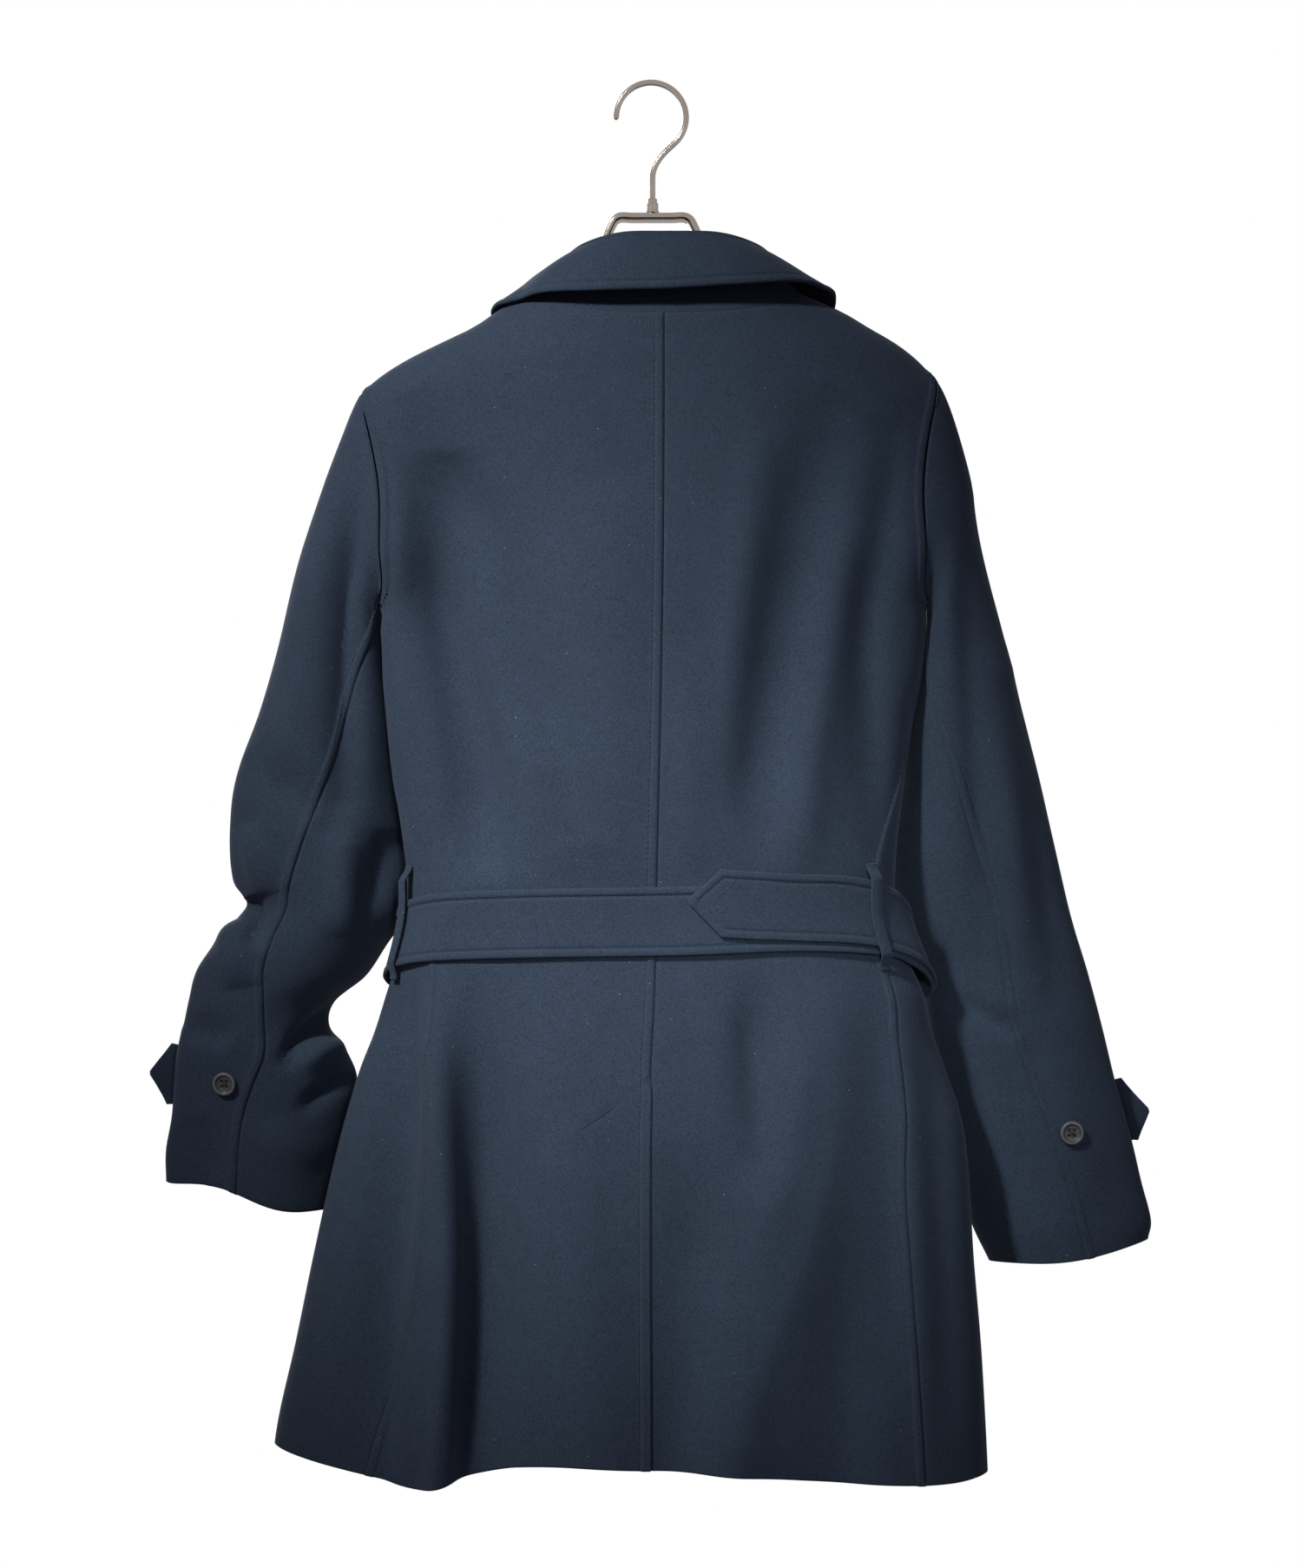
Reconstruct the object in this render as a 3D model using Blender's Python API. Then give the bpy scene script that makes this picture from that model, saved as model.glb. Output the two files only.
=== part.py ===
"""A short belted trench coat of heavy wool, hanging from a hanger, seen from its back at -Y.

Every length below is in millimetres and is turned into metres when a mesh is made. The origin is the
inside top of the hanger's hook, +Z is up, and "drop" is the distance below that point. The body is one
tube: a section's angle is 0 at the centre back, minus to the left and plus to the right, and 180 at the
centre front. Each cloth piece is a region of such a surface, with the cloth's thickness inside it.
"""

import math

import bpy
import numpy as np

MM = 0.001
CLOTH = 2.5  # thickness of the coat's cloth
COLLAR_CLOTH = 2.6
BELT_CLOTH = 2.4
SEAM_GAP = 0.4  # between two pieces that are sewn together
ARMHOLE_GAP = 1.2
SQUARENESS = 0.87  # exponent of the section's sine and cosine: 1 is an ellipse, less is squarer

NECK_BACK_DROP = 177.0
NECK_SIDE_DROP = 157.0
NECK_FRONT_DROP = 232.0
NECK_RISE = (4.0, 80.0)  # turns from the centre back between which the neckline rises
NECK_FADE = 420.0  # drop at which the rows of a panel no longer follow its neckline
SIDE_FADE = 214.0  # the same for its rise to the shoulder
HEM_FADE = 850.0  # drop from which they follow the hem
HEM_DROP = 1031.0
LAP = 74.0  # how far each front passes the centre
LAP_GAP = 0.8  # between two panels that lie on each other
LAP_COLUMNS = 6
SIDE_COLUMNS = 11
VENT_DROP = 743.0
VENT_LAP = 52.0
VENT_GAP = 1.2  # between the two laps of the vent

CLOTH_COLOUR = (0.020, 0.027, 0.060, 1.0)
BUTTON_COLOUR = (0.10, 0.10, 0.11, 1.0)
METAL_COLOUR = (0.62, 0.50, 0.45, 1.0)

# The body's sections: its left and right edge, and its depth to the back and to the front.
BODY_COLUMNS = ("drop", "left", "right", "back", "front")
BODY_SECTIONS = (
    (146, -82, 92, 44, 34),
    (157, -96, 112, 50, 40),
    (172, -118, 145.5, 54, 46),
    (183, -134.5, 164, 57, 50),
    (195, -159.5, 184.5, 59, 53),
    (207, -183.5, 200, 61, 55),
    (220, -204, 212, 62, 56),
    (232, -217, 221, 63, 57),
    (260, -231, 230, 64, 58),
    (300, -237, 234, 65, 60),
    (345, -230, 229, 66, 62),
    (391, -204, 207, 66, 63),
    (455, -196, 199, 66, 63),
    (520, -190, 191, 65, 62),
    (587, -184, 184, 62, 60),
    (625, -184, 184, 60, 58),
    (660, -192, 195, 62, 60),
    (683, -200, 205, 64, 62),
    (714, -210, 213, 67, 64),
    (737, -219, 221, 69, 66),
    (778, -231, 234, 72, 68),
    (806, -238, 238, 74, 70),
    (884, -255, 243, 78, 73),
    (943, -267, 248, 80, 75),
    (1012, -282, 252, 82, 77),
    (1056, -286, 254, 83, 78),
)

# The centre back seam's place, and where the side-back seams lie inside the body's edge.
CENTRE_COLUMNS = ("drop", "centre")
CENTRE_LINE = ((146, 10), (260, 10), (391, 9), (586, 5), (683, 3), (743, 0), (1056, -1))
SEAM_COLUMNS = ("drop", "left_angle", "right_angle")
SIDE_SEAMS = (
    (391, 90, 90),
    (450, 88, 88),
    (520, 84, 82),
    (600, 70, 66),
    (683, 54, 60),
    (737, 48, 55),
    (806, 43, 50),
    (884, 41, 50),
    (943, 42, 50),
    (1056, 47, 51),
)

# The hem of the back: its drop at each place across.
HEM_COLUMNS = ("across", "drop")
BACK_HEM = (
    (-284, 1020),
    (-266, 1024),
    (-238, 1030),
    (-205, 1037),
    (-165, 1043),
    (-132, 1034),
    (-99, 1026.5),
    (0, 1028),
    (90, 1034),
    (168, 1041.5),
    (227, 1043.5),
    (252, 1041),
)
FRONT_HEM_DROP = 1031.0

# Soft folds of the cloth: a line from its top to its foot, its half width, and its height outwards.
FOLD_COLUMNS = ("top_x", "top_drop", "foot_x", "foot_drop", "half_width", "height")
BACK_FOLDS = (
    (-185, 250, -75, 520, 24, -8),
    (-165, 330, -125, 600, 20, -6),
    (128, 240, 70, 590, 30, -9),
    (168, 290, 148, 590, 18, -5),
    (112, 450, 105, 600, 18, 4),
    (-85, 330, -55, 600, 34, 5),
    (-160, 660, -158, 1060, 15, 11),
    (-118, 680, -125, 1060, 26, -11),
    (-45, 680, -40, 1060, 40, 5),
    (80, 670, 84, 840, 20, -7),
    (125, 665, 48, 1060, 26, 10),
    (150, 720, 140, 1060, 26, -7),
    (30, 800, 20, 1060, 26, -6),
)
FRONT_FOLDS = (
    (-150, 260, -110, 590, 26, -7),
    (140, 270, 105, 590, 26, -7),
    (-150, 670, -165, 1050, 22, 9),
    (-105, 680, -115, 1050, 26, -8),
    (150, 670, 170, 1050, 22, 8),
    (100, 690, 112, 1050, 28, -8),
)

# Armholes: the drop of the top and of the underarm, and how far they cut in, as angles.
ARMHOLES = {"left": (232.0, 391.0), "right": (220.0, 391.0)}
ARMHOLE_BACK_ANGLE = 33.0
ARMHOLE_FRONT_ANGLE = 30.0
ARMHOLE_STEPS = 8

# Sleeve sections: the outer edge's and the inner edge's place, depth to each side, shift to the front,
# and the angles at which the back seam and the front seam cross the section.
SLEEVE_COLUMNS = (
    "outer_x",
    "outer_drop",
    "inner_x",
    "inner_drop",
    "depth",
    "shift",
    "back_seam",
    "front_seam",
)
SLEEVE_LEFT = (
    (-217, 232, -204, 391, 38, 0, 157.5, 157.5),
    (-232, 255.5, -204, 401.5, 41, 6, 155, 156),
    (-248, 301.5, -202, 414.5, 44, 13, 146, 150),
    (-266, 356.5, -196, 433.5, 47, 18, 129, 150),
    (-279.5, 412, -191, 457.5, 48, 23, 115, 149),
    (-296.5, 469.5, -186, 494, 48, 26, 104, 148),
    (-315, 520.5, -183, 530.5, 46, 28, 94.5, 147),
    (-320, 563, -181, 565, 44, 30, 83, 146),
    (-318, 597.5, -180, 599.5, 42, 32, 72, 145),
    (-309, 618, -186, 626, 41, 34, 64, 144),
    (-327, 640.5, -201.5, 647.5, 40, 36, 70.5, 143),
    (-345.5, 666, -218, 672, 39, 38, 81, 142),
    (-352.5, 690.5, -241.5, 691.5, 38, 40, 95.5, 142),
    (-358, 713, -246.5, 710, 37, 41, 101.5, 142),
    (-362, 732.5, -234.5, 728.5, 36, 42, 96, 142),
    (-364, 755, -225.5, 749, 34, 43, 85.5, 142),
    (-366, 779.5, -226.5, 775.5, 32, 44, 80, 142),
    (-370.5, 805, -232.5, 808, 31, 45, 81, 142),
    (-370.5, 828.5, -241, 850, 30, 46, 83, 142),
)
SLEEVE_RIGHT = (
    (211, 220, 207, 391, 38, 0, 157.5, 157.5),
    (227.5, 241.5, 208, 402.5, 41, 6, 155, 156),
    (239, 283.5, 206, 415.5, 44, 13, 147, 150),
    (250.5, 338.5, 200, 433.5, 47, 18, 141, 150),
    (265, 399, 193.5, 459.5, 48, 23, 131, 149),
    (279.5, 456.5, 188, 494, 48, 27, 114.5, 148),
    (295.5, 516.5, 185, 532.5, 46, 30, 102, 147),
    (309, 575.5, 181, 578.5, 41, 33, 90, 146),
    (321, 626.5, 187, 624.5, 38, 40, 86, 145),
    (334, 670.5, 204.5, 665.5, 36, 45, 93.5, 144),
    (345, 712.5, 211.5, 706, 36, 46, 95.5, 143),
    (355, 754, 220.5, 747, 35, 46, 91.5, 142),
    (366.5, 795, 229.5, 785.5, 34, 45, 87, 142),
    (374.5, 828.5, 238, 823.5, 32, 46, 83.5, 142),
    (382, 857.5, 245, 859.5, 31, 47, 81.5, 142),
    (380, 872.5, 259.5, 891, 30, 48, 80, 142),
)
SLEEVE_ROWS = 20
SLEEVE_LEAN = 14.0  # how far the inner edge goes to the front, behind the body's side
LEAN_BLEND = 0.04
CUFF_WAVES = {"left": (-6.0, 2.0), "right": (5.0, 1.0)}  # height and half waves across the cuff's hem
CUFF_WAVE_START = 0.88  # share of the sleeve at which they begin
SLEEVE_BLEND = 0.16  # share of the sleeve over which it takes its own section after the armhole

# The collar: the fold at its top and its outer edge, on one side, about its own centre.
COLLAR_CENTRE = 14.0
COLLAR_COLUMNS = ("angle", "fold_x", "fold_drop", "fold_y", "edge_x", "edge_drop", "edge_y")
COLLAR_SECTIONS = (
    (0, 0, 115, -43, 0, 160, -68),
    (30, 35.5, 115.5, -40, 57, 158.5, -64),
    (60, 63, 121.5, -24, 100, 156.5, -46),
    (75, 73, 126.5, -8, 116.5, 159.5, -24),
    (90, 78.5, 131.5, 8, 125, 161, 4),
    (110, 77, 143, 28, 124, 174, 34),
    (135, 62.5, 167, 48, 108, 202, 65),
    (155, 39, 188.5, 59, 86.5, 234, 75),
    (168, 16.5, 200, 64, 62, 267, 76),
)
COLLAR_TILT = 0.045  # the edge stands this much higher, per millimetre, to the right
COLLAR_ROLL = 5.0  # radius over which the collar turns down
COLLAR_LEAVE = 20.0  # degrees before the level at which the roll ends
COLLAR_ROLL_SHARE = 0.3  # share of the rows that the roll takes
COLLAR_CROWN = 8.0  # how far the fall swells above a straight line
COLLAR_SIDE = (84.0, 34.0, 0.75)  # where the crown is flatter: turn from the back, half width and share
COLLAR_CLEAR_DROP = 150.0  # below which the fall is kept clear of the body
COLLAR_CLEAR = 1.085  # the fall's least size against the body's section beneath it
COLLAR_END = 167.0
STAND_RISE = (0.8, 1.8)  # over the neck seam: at the back, and what is added beside and in front
STAND_GAP = 0.8  # between the stand's top and the roll

# The belt: the drop of its middle and how far it stands off the cloth, round the body.
BELT_WIDTH = 50.0
BELT_END_ANGLE = 176.0  # both ends stop short of the centre front, at the buckle
BELT_STEPS = 40
BELT_COLUMNS = ("angle", "drop", "stand_off")
BELT_LINE = (
    (-180, 668, 4.6),
    (-150, 666, 4.4),
    (-130, 663, 1.4),
    (-104, 654, 3),
    (-90, 646, 4),
    (-76, 638, 2.4),
    (-60, 633, 1.8),
    (-30, 629, 1.6),
    (0, 627, 1.6),
    (30, 624, 1.8),
    (55, 627, 2.0),
    (70, 632, 2.8),
    (84, 646, 6),
    (100, 662, 7),
    (130, 668, 2),
    (150, 666, 4.4),
    (180, 668, 4.6),
)
# The free end's middle, and its height over the belt below it.
BELT_END_LINE = (
    (5, 611, 0.7),
    (14, 614, 0.7),
    (30, 616.5, 0.7),
    (48, 619, 0.7),
    (62, 624, 0.7),
    (76, 633, 1.1),
    (90, 650, 1.2),
    (104, 663, 1.0),
    (130, 669, 0.5),
    (180, 668, 0.5),
)
BELT_POINT = 7.2  # degrees that the point stands out from the end's corners
BUCKLE_SIZE = (46.0, 68.0)
BUCKLE_BAR = 5.0
BUCKLE_CORNER = 9.0
BUCKLE_REST = 2.0  # over the belt at its middle, which leaves less where the belt leans out

# Belt loops: the angle of each, its top and foot, its width, and its height over the belt.
LOOP_LEFT = (-77.0, 587.0, 672.0, 8.0, 6.4)
LOOP_RIGHT = (60.0, 585.0, 664.0, 9.0, 8.2)
LOOP_CLOTH = 2.0
LOOP_REST = 0.4  # between the loop's sewn ends and the coat

CUFF_BUTTONS = {"left": (-322.0, 752.0), "right": (317.5, 789.0)}
CUFF_TAB_ROWS = {"left": (0.76, 0.868), "right": (0.732, 0.806)}
CUFF_TAB_OUT = 16.0  # from the tab's corners to its point
TAB_CLOTH = 2.0
TAB_REST = 0.7  # between the tab and the sleeve
TAB_TURNS = (-118.0, -12.0)  # round the sleeve: where the tab starts, and where it leaves the sleeve
TAB_FREE = 3.0  # how far it goes on before its corners
BUTTON_REST = {"left": 0.7, "right": 0.1}  # over the sleeve, whose facets lie a little inside it
BUTTON_RADIUS = 9.0
BUTTON_THICKNESS = 3.6
BUTTON_SIDES = 12
# A button's profile from the middle of its face to the middle of its back: shares of radius and thickness.
BUTTON_PROFILE = ((0.0, 0.62), (0.62, 0.62), (0.74, 1.0), (0.92, 1.0), (1.0, 0.7), (0.94, 0.0), (0.0, 0.0))
FRONT_BUTTONS = ((-52, 330), (52, 330), (-52, 470), (52, 470), (-52, 745), (52, 745))
FRONT_BUTTON_RADIUS = 13.0
FRONT_BUTTON_THICKNESS = 4.2
FRONT_BUTTON_REST = 0.7  # over the upper front

# The hanger. Places are across and drop, unless said.
HOOK_WIRE = 4.6
HOOK_RADIUS = 26.3  # of the wire's middle
HOOK_CENTRE = (0.0, 24.0)
HOOK_TURNS = (184.0, -48.0)  # from the tip over the rail to where the bend begins
HOOK_FOOT = (1.0, 70.0)  # where the bend ends and the stem begins
HOOK_PULLS = (9.0, 12.0)  # how far the bend keeps to the arc's and to the stem's direction
STEM_DEPTH = 4.0  # into the ferrule
FERRULE = (9.0, 85.0, 95.6)  # width, top and foot
FERRULE_PLAY = 0.3
FRAME_HALF_DEPTH = 11.0
FRAME_HALF_HEIGHT = 3.6
FRAME_CENTRE = 1.0
FRAME_ARM = ((25, 99.5), (28.2, 101.3), (31, 106), (38, 122), (55, 145), (76, 162))
FRAME_SHOULDER = (104, 122, 140, 158, 174, 188)
SHOULDER_REST = 1.2  # between the hanger's shoulders and the cloth that hangs on them


def smooth(at, knots, values):
    """A cubic through the knots, whose slope at each is the mean of the chords beside it."""
    knots = np.asarray(knots, float)
    values = np.asarray(values, float)
    chord = np.diff(values) / np.diff(knots)
    slope = np.concatenate([chord[:1], (chord[:-1] + chord[1:]) / 2, chord[-1:]])
    at = np.clip(np.asarray(at, float), knots[0], knots[-1])
    i = np.clip(np.searchsorted(knots, at, side="right") - 1, 0, len(knots) - 2)
    step = knots[i + 1] - knots[i]
    t = (at - knots[i]) / step
    rise = t * t * (3 - 2 * t)
    ease_in = t * (1 - t) ** 2
    ease_out = t * t * (1 - t)
    start = values[i] * (1 - rise) + slope[i] * step * ease_in
    return start + values[i + 1] * rise - slope[i + 1] * step * ease_out


def column(rows, names, name):
    return np.array([row[names.index(name)] for row in rows], float)


def read(rows, names, name, at, key=None):
    """The value of one named column of a table at `at`, measured along its key column."""
    return smooth(at, column(rows, names, key or names[0]), column(rows, names, name))


def ramp(at, start, end):
    """0 before start, 1 after end, and a soft S between them."""
    t = np.clip((np.asarray(at, float) - start) / (end - start), 0, 1)
    return t * t * (3 - 2 * t)


def unit(vectors):
    return vectors / np.maximum(np.linalg.norm(vectors, axis=-1, keepdims=True), 1e-9)


def fold_height(folds, x, drop):
    """The sum of the folds: each is a bell across its line, and fades at its two ends."""
    total = np.zeros(np.broadcast(x, drop).shape)
    for top_x, top_drop, foot_x, foot_drop, half_width, height in folds:
        along = (drop - top_drop) / (foot_drop - top_drop)
        middle = top_x + (foot_x - top_x) * np.clip(along, 0, 1)
        inside = ramp(along, -0.05, 0.3)
        if foot_drop < HEM_DROP:
            inside = inside * (1 - ramp(along, 0.75, 1.0))
        total = total + height * inside * np.exp(-(((x - middle) / half_width) ** 2))
    return total


def body(angle, drop):
    """A point of the body's outer surface. A section is a squared ellipse between its four edges."""
    angle, drop = np.broadcast_arrays(np.asarray(angle, float), np.asarray(drop, float))
    sine = np.sin(np.radians(angle))
    cosine = np.cos(np.radians(angle))
    centre = read(CENTRE_LINE, CENTRE_COLUMNS, "centre", drop)
    left = read(BODY_SECTIONS, BODY_COLUMNS, "left", drop)
    right = read(BODY_SECTIONS, BODY_COLUMNS, "right", drop)
    reach = np.where(sine < 0, centre - left, right - centre)
    x = centre + np.sign(sine) * reach * np.abs(sine) ** SQUARENESS
    back = read(BODY_SECTIONS, BODY_COLUMNS, "back", drop)
    front = read(BODY_SECTIONS, BODY_COLUMNS, "front", drop)
    back = back + fold_height(BACK_FOLDS, x, drop)
    front = front + fold_height(FRONT_FOLDS, x, drop)
    y = np.where(cosine > 0, -back, front) * np.abs(cosine) ** SQUARENESS
    return np.stack([x, y, -drop], axis=-1)


def body_normal(angle, drop):
    """The outward direction of the body's surface, from its slopes over a short step."""
    turn, step = 0.6, 1.0
    across = body(angle + turn, drop) - body(angle - turn, drop)
    down = body(angle, drop + step) - body(angle, drop - step)
    return unit(np.cross(down, across))


def on_body(angle, drop, height):
    """A point that stands off the body's surface by a height."""
    return body(angle, drop) + body_normal(angle, drop) * np.asarray(height)[..., None]


def angle_at(x, drop, side=1):
    """The angle on the back (side 1) or the front (side -1) at which the body's surface is at x."""
    centre = read(CENTRE_LINE, CENTRE_COLUMNS, "centre", drop)
    edge = np.where(
        np.asarray(x) < centre,
        centre - read(BODY_SECTIONS, BODY_COLUMNS, "left", drop),
        read(BODY_SECTIONS, BODY_COLUMNS, "right", drop) - centre,
    )
    share = np.clip((np.asarray(x, float) - centre) / edge, -1, 1)
    angle = np.degrees(np.arcsin(np.sign(share) * np.abs(share) ** (1 / SQUARENESS)))
    return angle if side > 0 else np.where(angle < 0, -180 - angle, 180 - angle)


def add_mesh(name, vertices, faces, colour, roughness=0.95, metallic=0.0):
    mesh = bpy.data.meshes.new(name)
    mesh.from_pydata((np.asarray(vertices) * MM).tolist(), [], faces)
    mesh.shade_smooth()
    face_outwards(mesh)
    return add_object(name, mesh, colour, roughness, metallic)


def face_outwards(mesh):
    """Turns a closed mesh's faces round if they point in, which its signed volume shows."""
    mesh.calc_loop_triangles()
    points = np.array([v.co for v in mesh.vertices])
    triangles = np.array([t.vertices for t in mesh.loop_triangles])
    if np.linalg.det(points[triangles]).sum() < 0:
        mesh.flip_normals()


def add_object(name, data, colour, roughness=0.95, metallic=0.0):
    obj = bpy.data.objects.new(name, data)
    bpy.data.collections["trench_coat"].objects.link(obj)
    material = bpy.data.materials.new(name)
    material.use_nodes = True
    shader = material.node_tree.nodes["Principled BSDF"]
    shader.inputs["Base Color"].default_value = colour
    shader.inputs["Roughness"].default_value = roughness
    shader.inputs["Metallic"].default_value = metallic
    data.materials.append(material)
    return obj


def grid_faces(rows, columns, start, flip):
    faces = []
    for i in range(rows - 1):
        for j in range(columns - 1):
            a = start + i * columns + j
            quad = (a, a + 1, a + columns + 1, a + columns)
            faces.append(quad[::-1] if flip else quad)
    return faces


def add_wall(name, outer, inner, colour=CLOTH_COLOUR, **finish):
    """A closed wall between two grids of points: both faces, and a rim round them."""
    rows, columns, _ = outer.shape
    count = rows * columns
    faces = grid_faces(rows, columns, 0, False) + grid_faces(rows, columns, count, True)
    border = [(0, j) for j in range(columns)]
    border += [(i, columns - 1) for i in range(1, rows)]
    border += [(rows - 1, j) for j in range(columns - 2, -1, -1)]
    border += [(i, 0) for i in range(rows - 2, 0, -1)]
    ring = [i * columns + j for i, j in border]
    for a, b in zip(ring, ring[1:] + ring[:1]):
        faces.append((b, a, a + count, b + count))
    points = np.concatenate([outer.reshape(-1, 3), inner.reshape(-1, 3)])
    return add_mesh(name, points, faces, colour, **finish)


def draw_in(points, distance=SEAM_GAP / 2):
    """Moves each border of a grid inwards, so that two pieces that share a seam stay apart."""
    out = points.copy()
    for here, there in (((slice(None), 0), (slice(None), 1)), ((slice(None), -1), (slice(None), -2))):
        out[here] += unit(points[there] - points[here]) * distance
    for here, there in ((0, 1), (-1, -2)):
        out[here] += unit(points[there] - points[here]) * distance
    return out


def add_cloth(name, points, normals, thickness=CLOTH, colour=CLOTH_COLOUR):
    outer = draw_in(points)
    return add_wall(name, outer, outer - normals * thickness, colour)


def armhole_angle(side, drop):
    """How far the armhole cuts into the panel at this drop, as a share of its deepest."""
    top, foot = ARMHOLES[side]
    share = (drop - (top + foot) / 2) / ((foot - top) / 2)
    return np.sqrt(np.clip(1 - share**2, 0, 1))


def panel_levels(side):
    """The drops of a panel's rows: neck to shoulder point, round the armhole, and down to the hem."""
    top, foot = ARMHOLES[side]
    shoulder = np.linspace(NECK_BACK_DROP, top, 5)[:-1]
    around = np.arange(ARMHOLE_STEPS + 1) * math.pi / ARMHOLE_STEPS
    armhole = (top + foot) / 2 - (foot - top) / 2 * np.cos(around)
    below = np.linspace(foot, HEM_DROP, 16)[1:]
    return np.concatenate([shoulder, armhole, below])


def edge_angle(side, level, back):
    """The angle of a panel's outer edge: shoulder seam, then armhole, then side-back seam."""
    cut = armhole_angle(side, level)
    depth = ARMHOLE_BACK_ANGLE if back else ARMHOLE_FRONT_ANGLE
    upper = 90 - depth * cut if back else 90 + depth * cut
    seam = read(SIDE_SEAMS, SEAM_COLUMNS, side + "_angle", level)
    return np.where(level <= ARMHOLES[side][1], upper, seam)


def panel_drop(angle, level):
    """The drop of a panel's point: its row's level, bent to the neckline above and the hem below."""
    turn = np.abs((angle + 180) % 360 - 180)
    side_rise = (NECK_SIDE_DROP - NECK_BACK_DROP) * ramp(turn, *NECK_RISE)
    front_fall = (NECK_FRONT_DROP - NECK_SIDE_DROP) * np.where(np.abs(angle) > 180, 1, ramp(turn, 122, 180))
    fade = np.clip((NECK_FADE - level) / (NECK_FADE - NECK_BACK_DROP), 0, 1) ** 1.5
    drop = level + side_rise * (1 - ramp(level, NECK_BACK_DROP, SIDE_FADE)) + front_fall * fade
    back_hem = read(BACK_HEM, HEM_COLUMNS, "drop", body(angle, level)[..., 0])
    hem = back_hem + (FRONT_HEM_DROP - back_hem) * ramp(turn, 90, 120)
    return drop + (hem - HEM_DROP) * ramp(level, HEM_FADE, HEM_DROP)


def back_panel(side, columns=11):
    sign = -1 if side == "left" else 1
    level = panel_levels(side)[:, None]
    share = np.linspace(0, 1, columns)[None, :]
    angle = sign * share * edge_angle(side, level, True)
    drop = panel_drop(angle, np.broadcast_to(level, angle.shape))
    add_cloth("back_" + side, body(angle, drop), body_normal(angle, drop))


def front_turns(side, level):
    """The turns of a front's columns: from the side-back seam to the lap, then across the lap."""
    sign = -1 if side == "left" else 1
    start = edge_angle(side, level, False)
    lap_drop = panel_drop(np.full(level.shape, -181.0 * sign), level)
    across = sign * np.linspace(LAP, -LAP, LAP_COLUMNS)[None, :]
    lap = (sign * angle_at(across, np.broadcast_to(lap_drop, (len(level), LAP_COLUMNS)), -1)) % 360
    run = np.linspace(0, 1, SIDE_COLUMNS + 1)[None, :-1]
    return np.concatenate([start + (lap[:, :1] - start) * run, lap], axis=1)


def front_panel(side):
    """From the side-back seam round the side to the front edge, past the centre by the lap."""
    level = panel_levels(side)[:, None]
    angle = front_turns(side, level) * (-1 if side == "left" else 1)
    drop = panel_drop(angle, np.broadcast_to(level, angle.shape))
    normal = body_normal(angle, drop)
    points = body(angle, drop)
    if side == "left":
        points[:, SIDE_COLUMNS:] += normal[:, SIDE_COLUMNS:] * (CLOTH + LAP_GAP)
    add_cloth("front_" + side, points, normal)


def vent_underlap(columns=4, rows=12):
    """The strip that runs on from the right back panel, under the left one."""
    level = np.linspace(VENT_DROP + 2, HEM_DROP, rows)[:, None]
    width = VENT_LAP * ramp(level, VENT_DROP - 90, VENT_DROP + 36)
    share = np.linspace(0, 1, columns)[None, :]
    x = read(CENTRE_LINE, CENTRE_COLUMNS, "centre", level) - 0.5 - width * share
    angle = angle_at(x, np.broadcast_to(level, x.shape))
    drop = panel_drop(angle, np.broadcast_to(level, angle.shape))
    normal = body_normal(angle, drop)
    add_cloth("vent_underlap", body(angle, drop) - normal * (CLOTH + VENT_GAP), normal)


def armhole_point(side, turn):
    top, foot = ARMHOLES[side]
    drop = (top + foot) / 2 - (foot - top) / 2 * np.cos(np.radians(turn))
    depth = np.where(np.sin(np.radians(turn)) > 0, ARMHOLE_BACK_ANGLE, ARMHOLE_FRONT_ANGLE)
    angle = 90 - depth * np.sin(np.radians(turn))
    angle = -angle if side == "left" else angle
    return body(angle, drop), body_normal(angle, drop)


def armhole_loop(side, turn):
    """The panels' armhole edge. Turn is 0 at the shoulder, 180 at the underarm, minus in front."""
    step = 180 / ARMHOLE_STEPS
    whole = np.floor(turn / step)
    part = (turn / step - whole)[..., None]
    here, here_normal = armhole_point(side, whole * step)
    there, there_normal = armhole_point(side, (whole + 1) * step)
    return here * (1 - part) + there * part, unit(here_normal * (1 - part) + there_normal * part)


def sleeve(side, turn, share):
    """A point of a sleeve: a section is an ellipse between its outer and its inner edge."""
    rows = SLEEVE_LEFT if side == "left" else SLEEVE_RIGHT
    place = share * (len(rows) - 1)
    knots = np.arange(len(rows))
    value = {name: smooth(place, knots, column(rows, SLEEVE_COLUMNS, name)) for name in SLEEVE_COLUMNS}
    cosine, sine = np.cos(np.radians(turn)), np.sin(np.radians(turn))
    x = (value["outer_x"] + value["inner_x"]) / 2 + (value["outer_x"] - value["inner_x"]) / 2 * cosine
    drop = (value["outer_drop"] + value["inner_drop"]) / 2
    drop = drop + (value["outer_drop"] - value["inner_drop"]) / 2 * cosine
    height, waves = CUFF_WAVES[side]
    wave = height * np.sin(waves * math.pi * (1 - cosine) / 2) * np.clip(sine, 0, 1)
    drop = drop + wave * ramp(share, CUFF_WAVE_START, 1)
    middle = value["shift"] + SLEEVE_LEAN * ramp(share, 0, LEAN_BLEND) * np.clip(-cosine, 0, 1) ** 2
    y = middle - value["depth"] * np.sign(sine) * np.abs(sine) ** SQUARENESS
    own = np.stack([x, y, -drop], axis=-1)
    loop, _ = armhole_loop(side, turn)
    loop = loop + np.array([-1.0 if side == "left" else 1.0, 0, 0]) * ARMHOLE_GAP
    blend = ramp(share, 0, SLEEVE_BLEND)[..., None]
    return loop * (1 - blend) + own * blend


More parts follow.
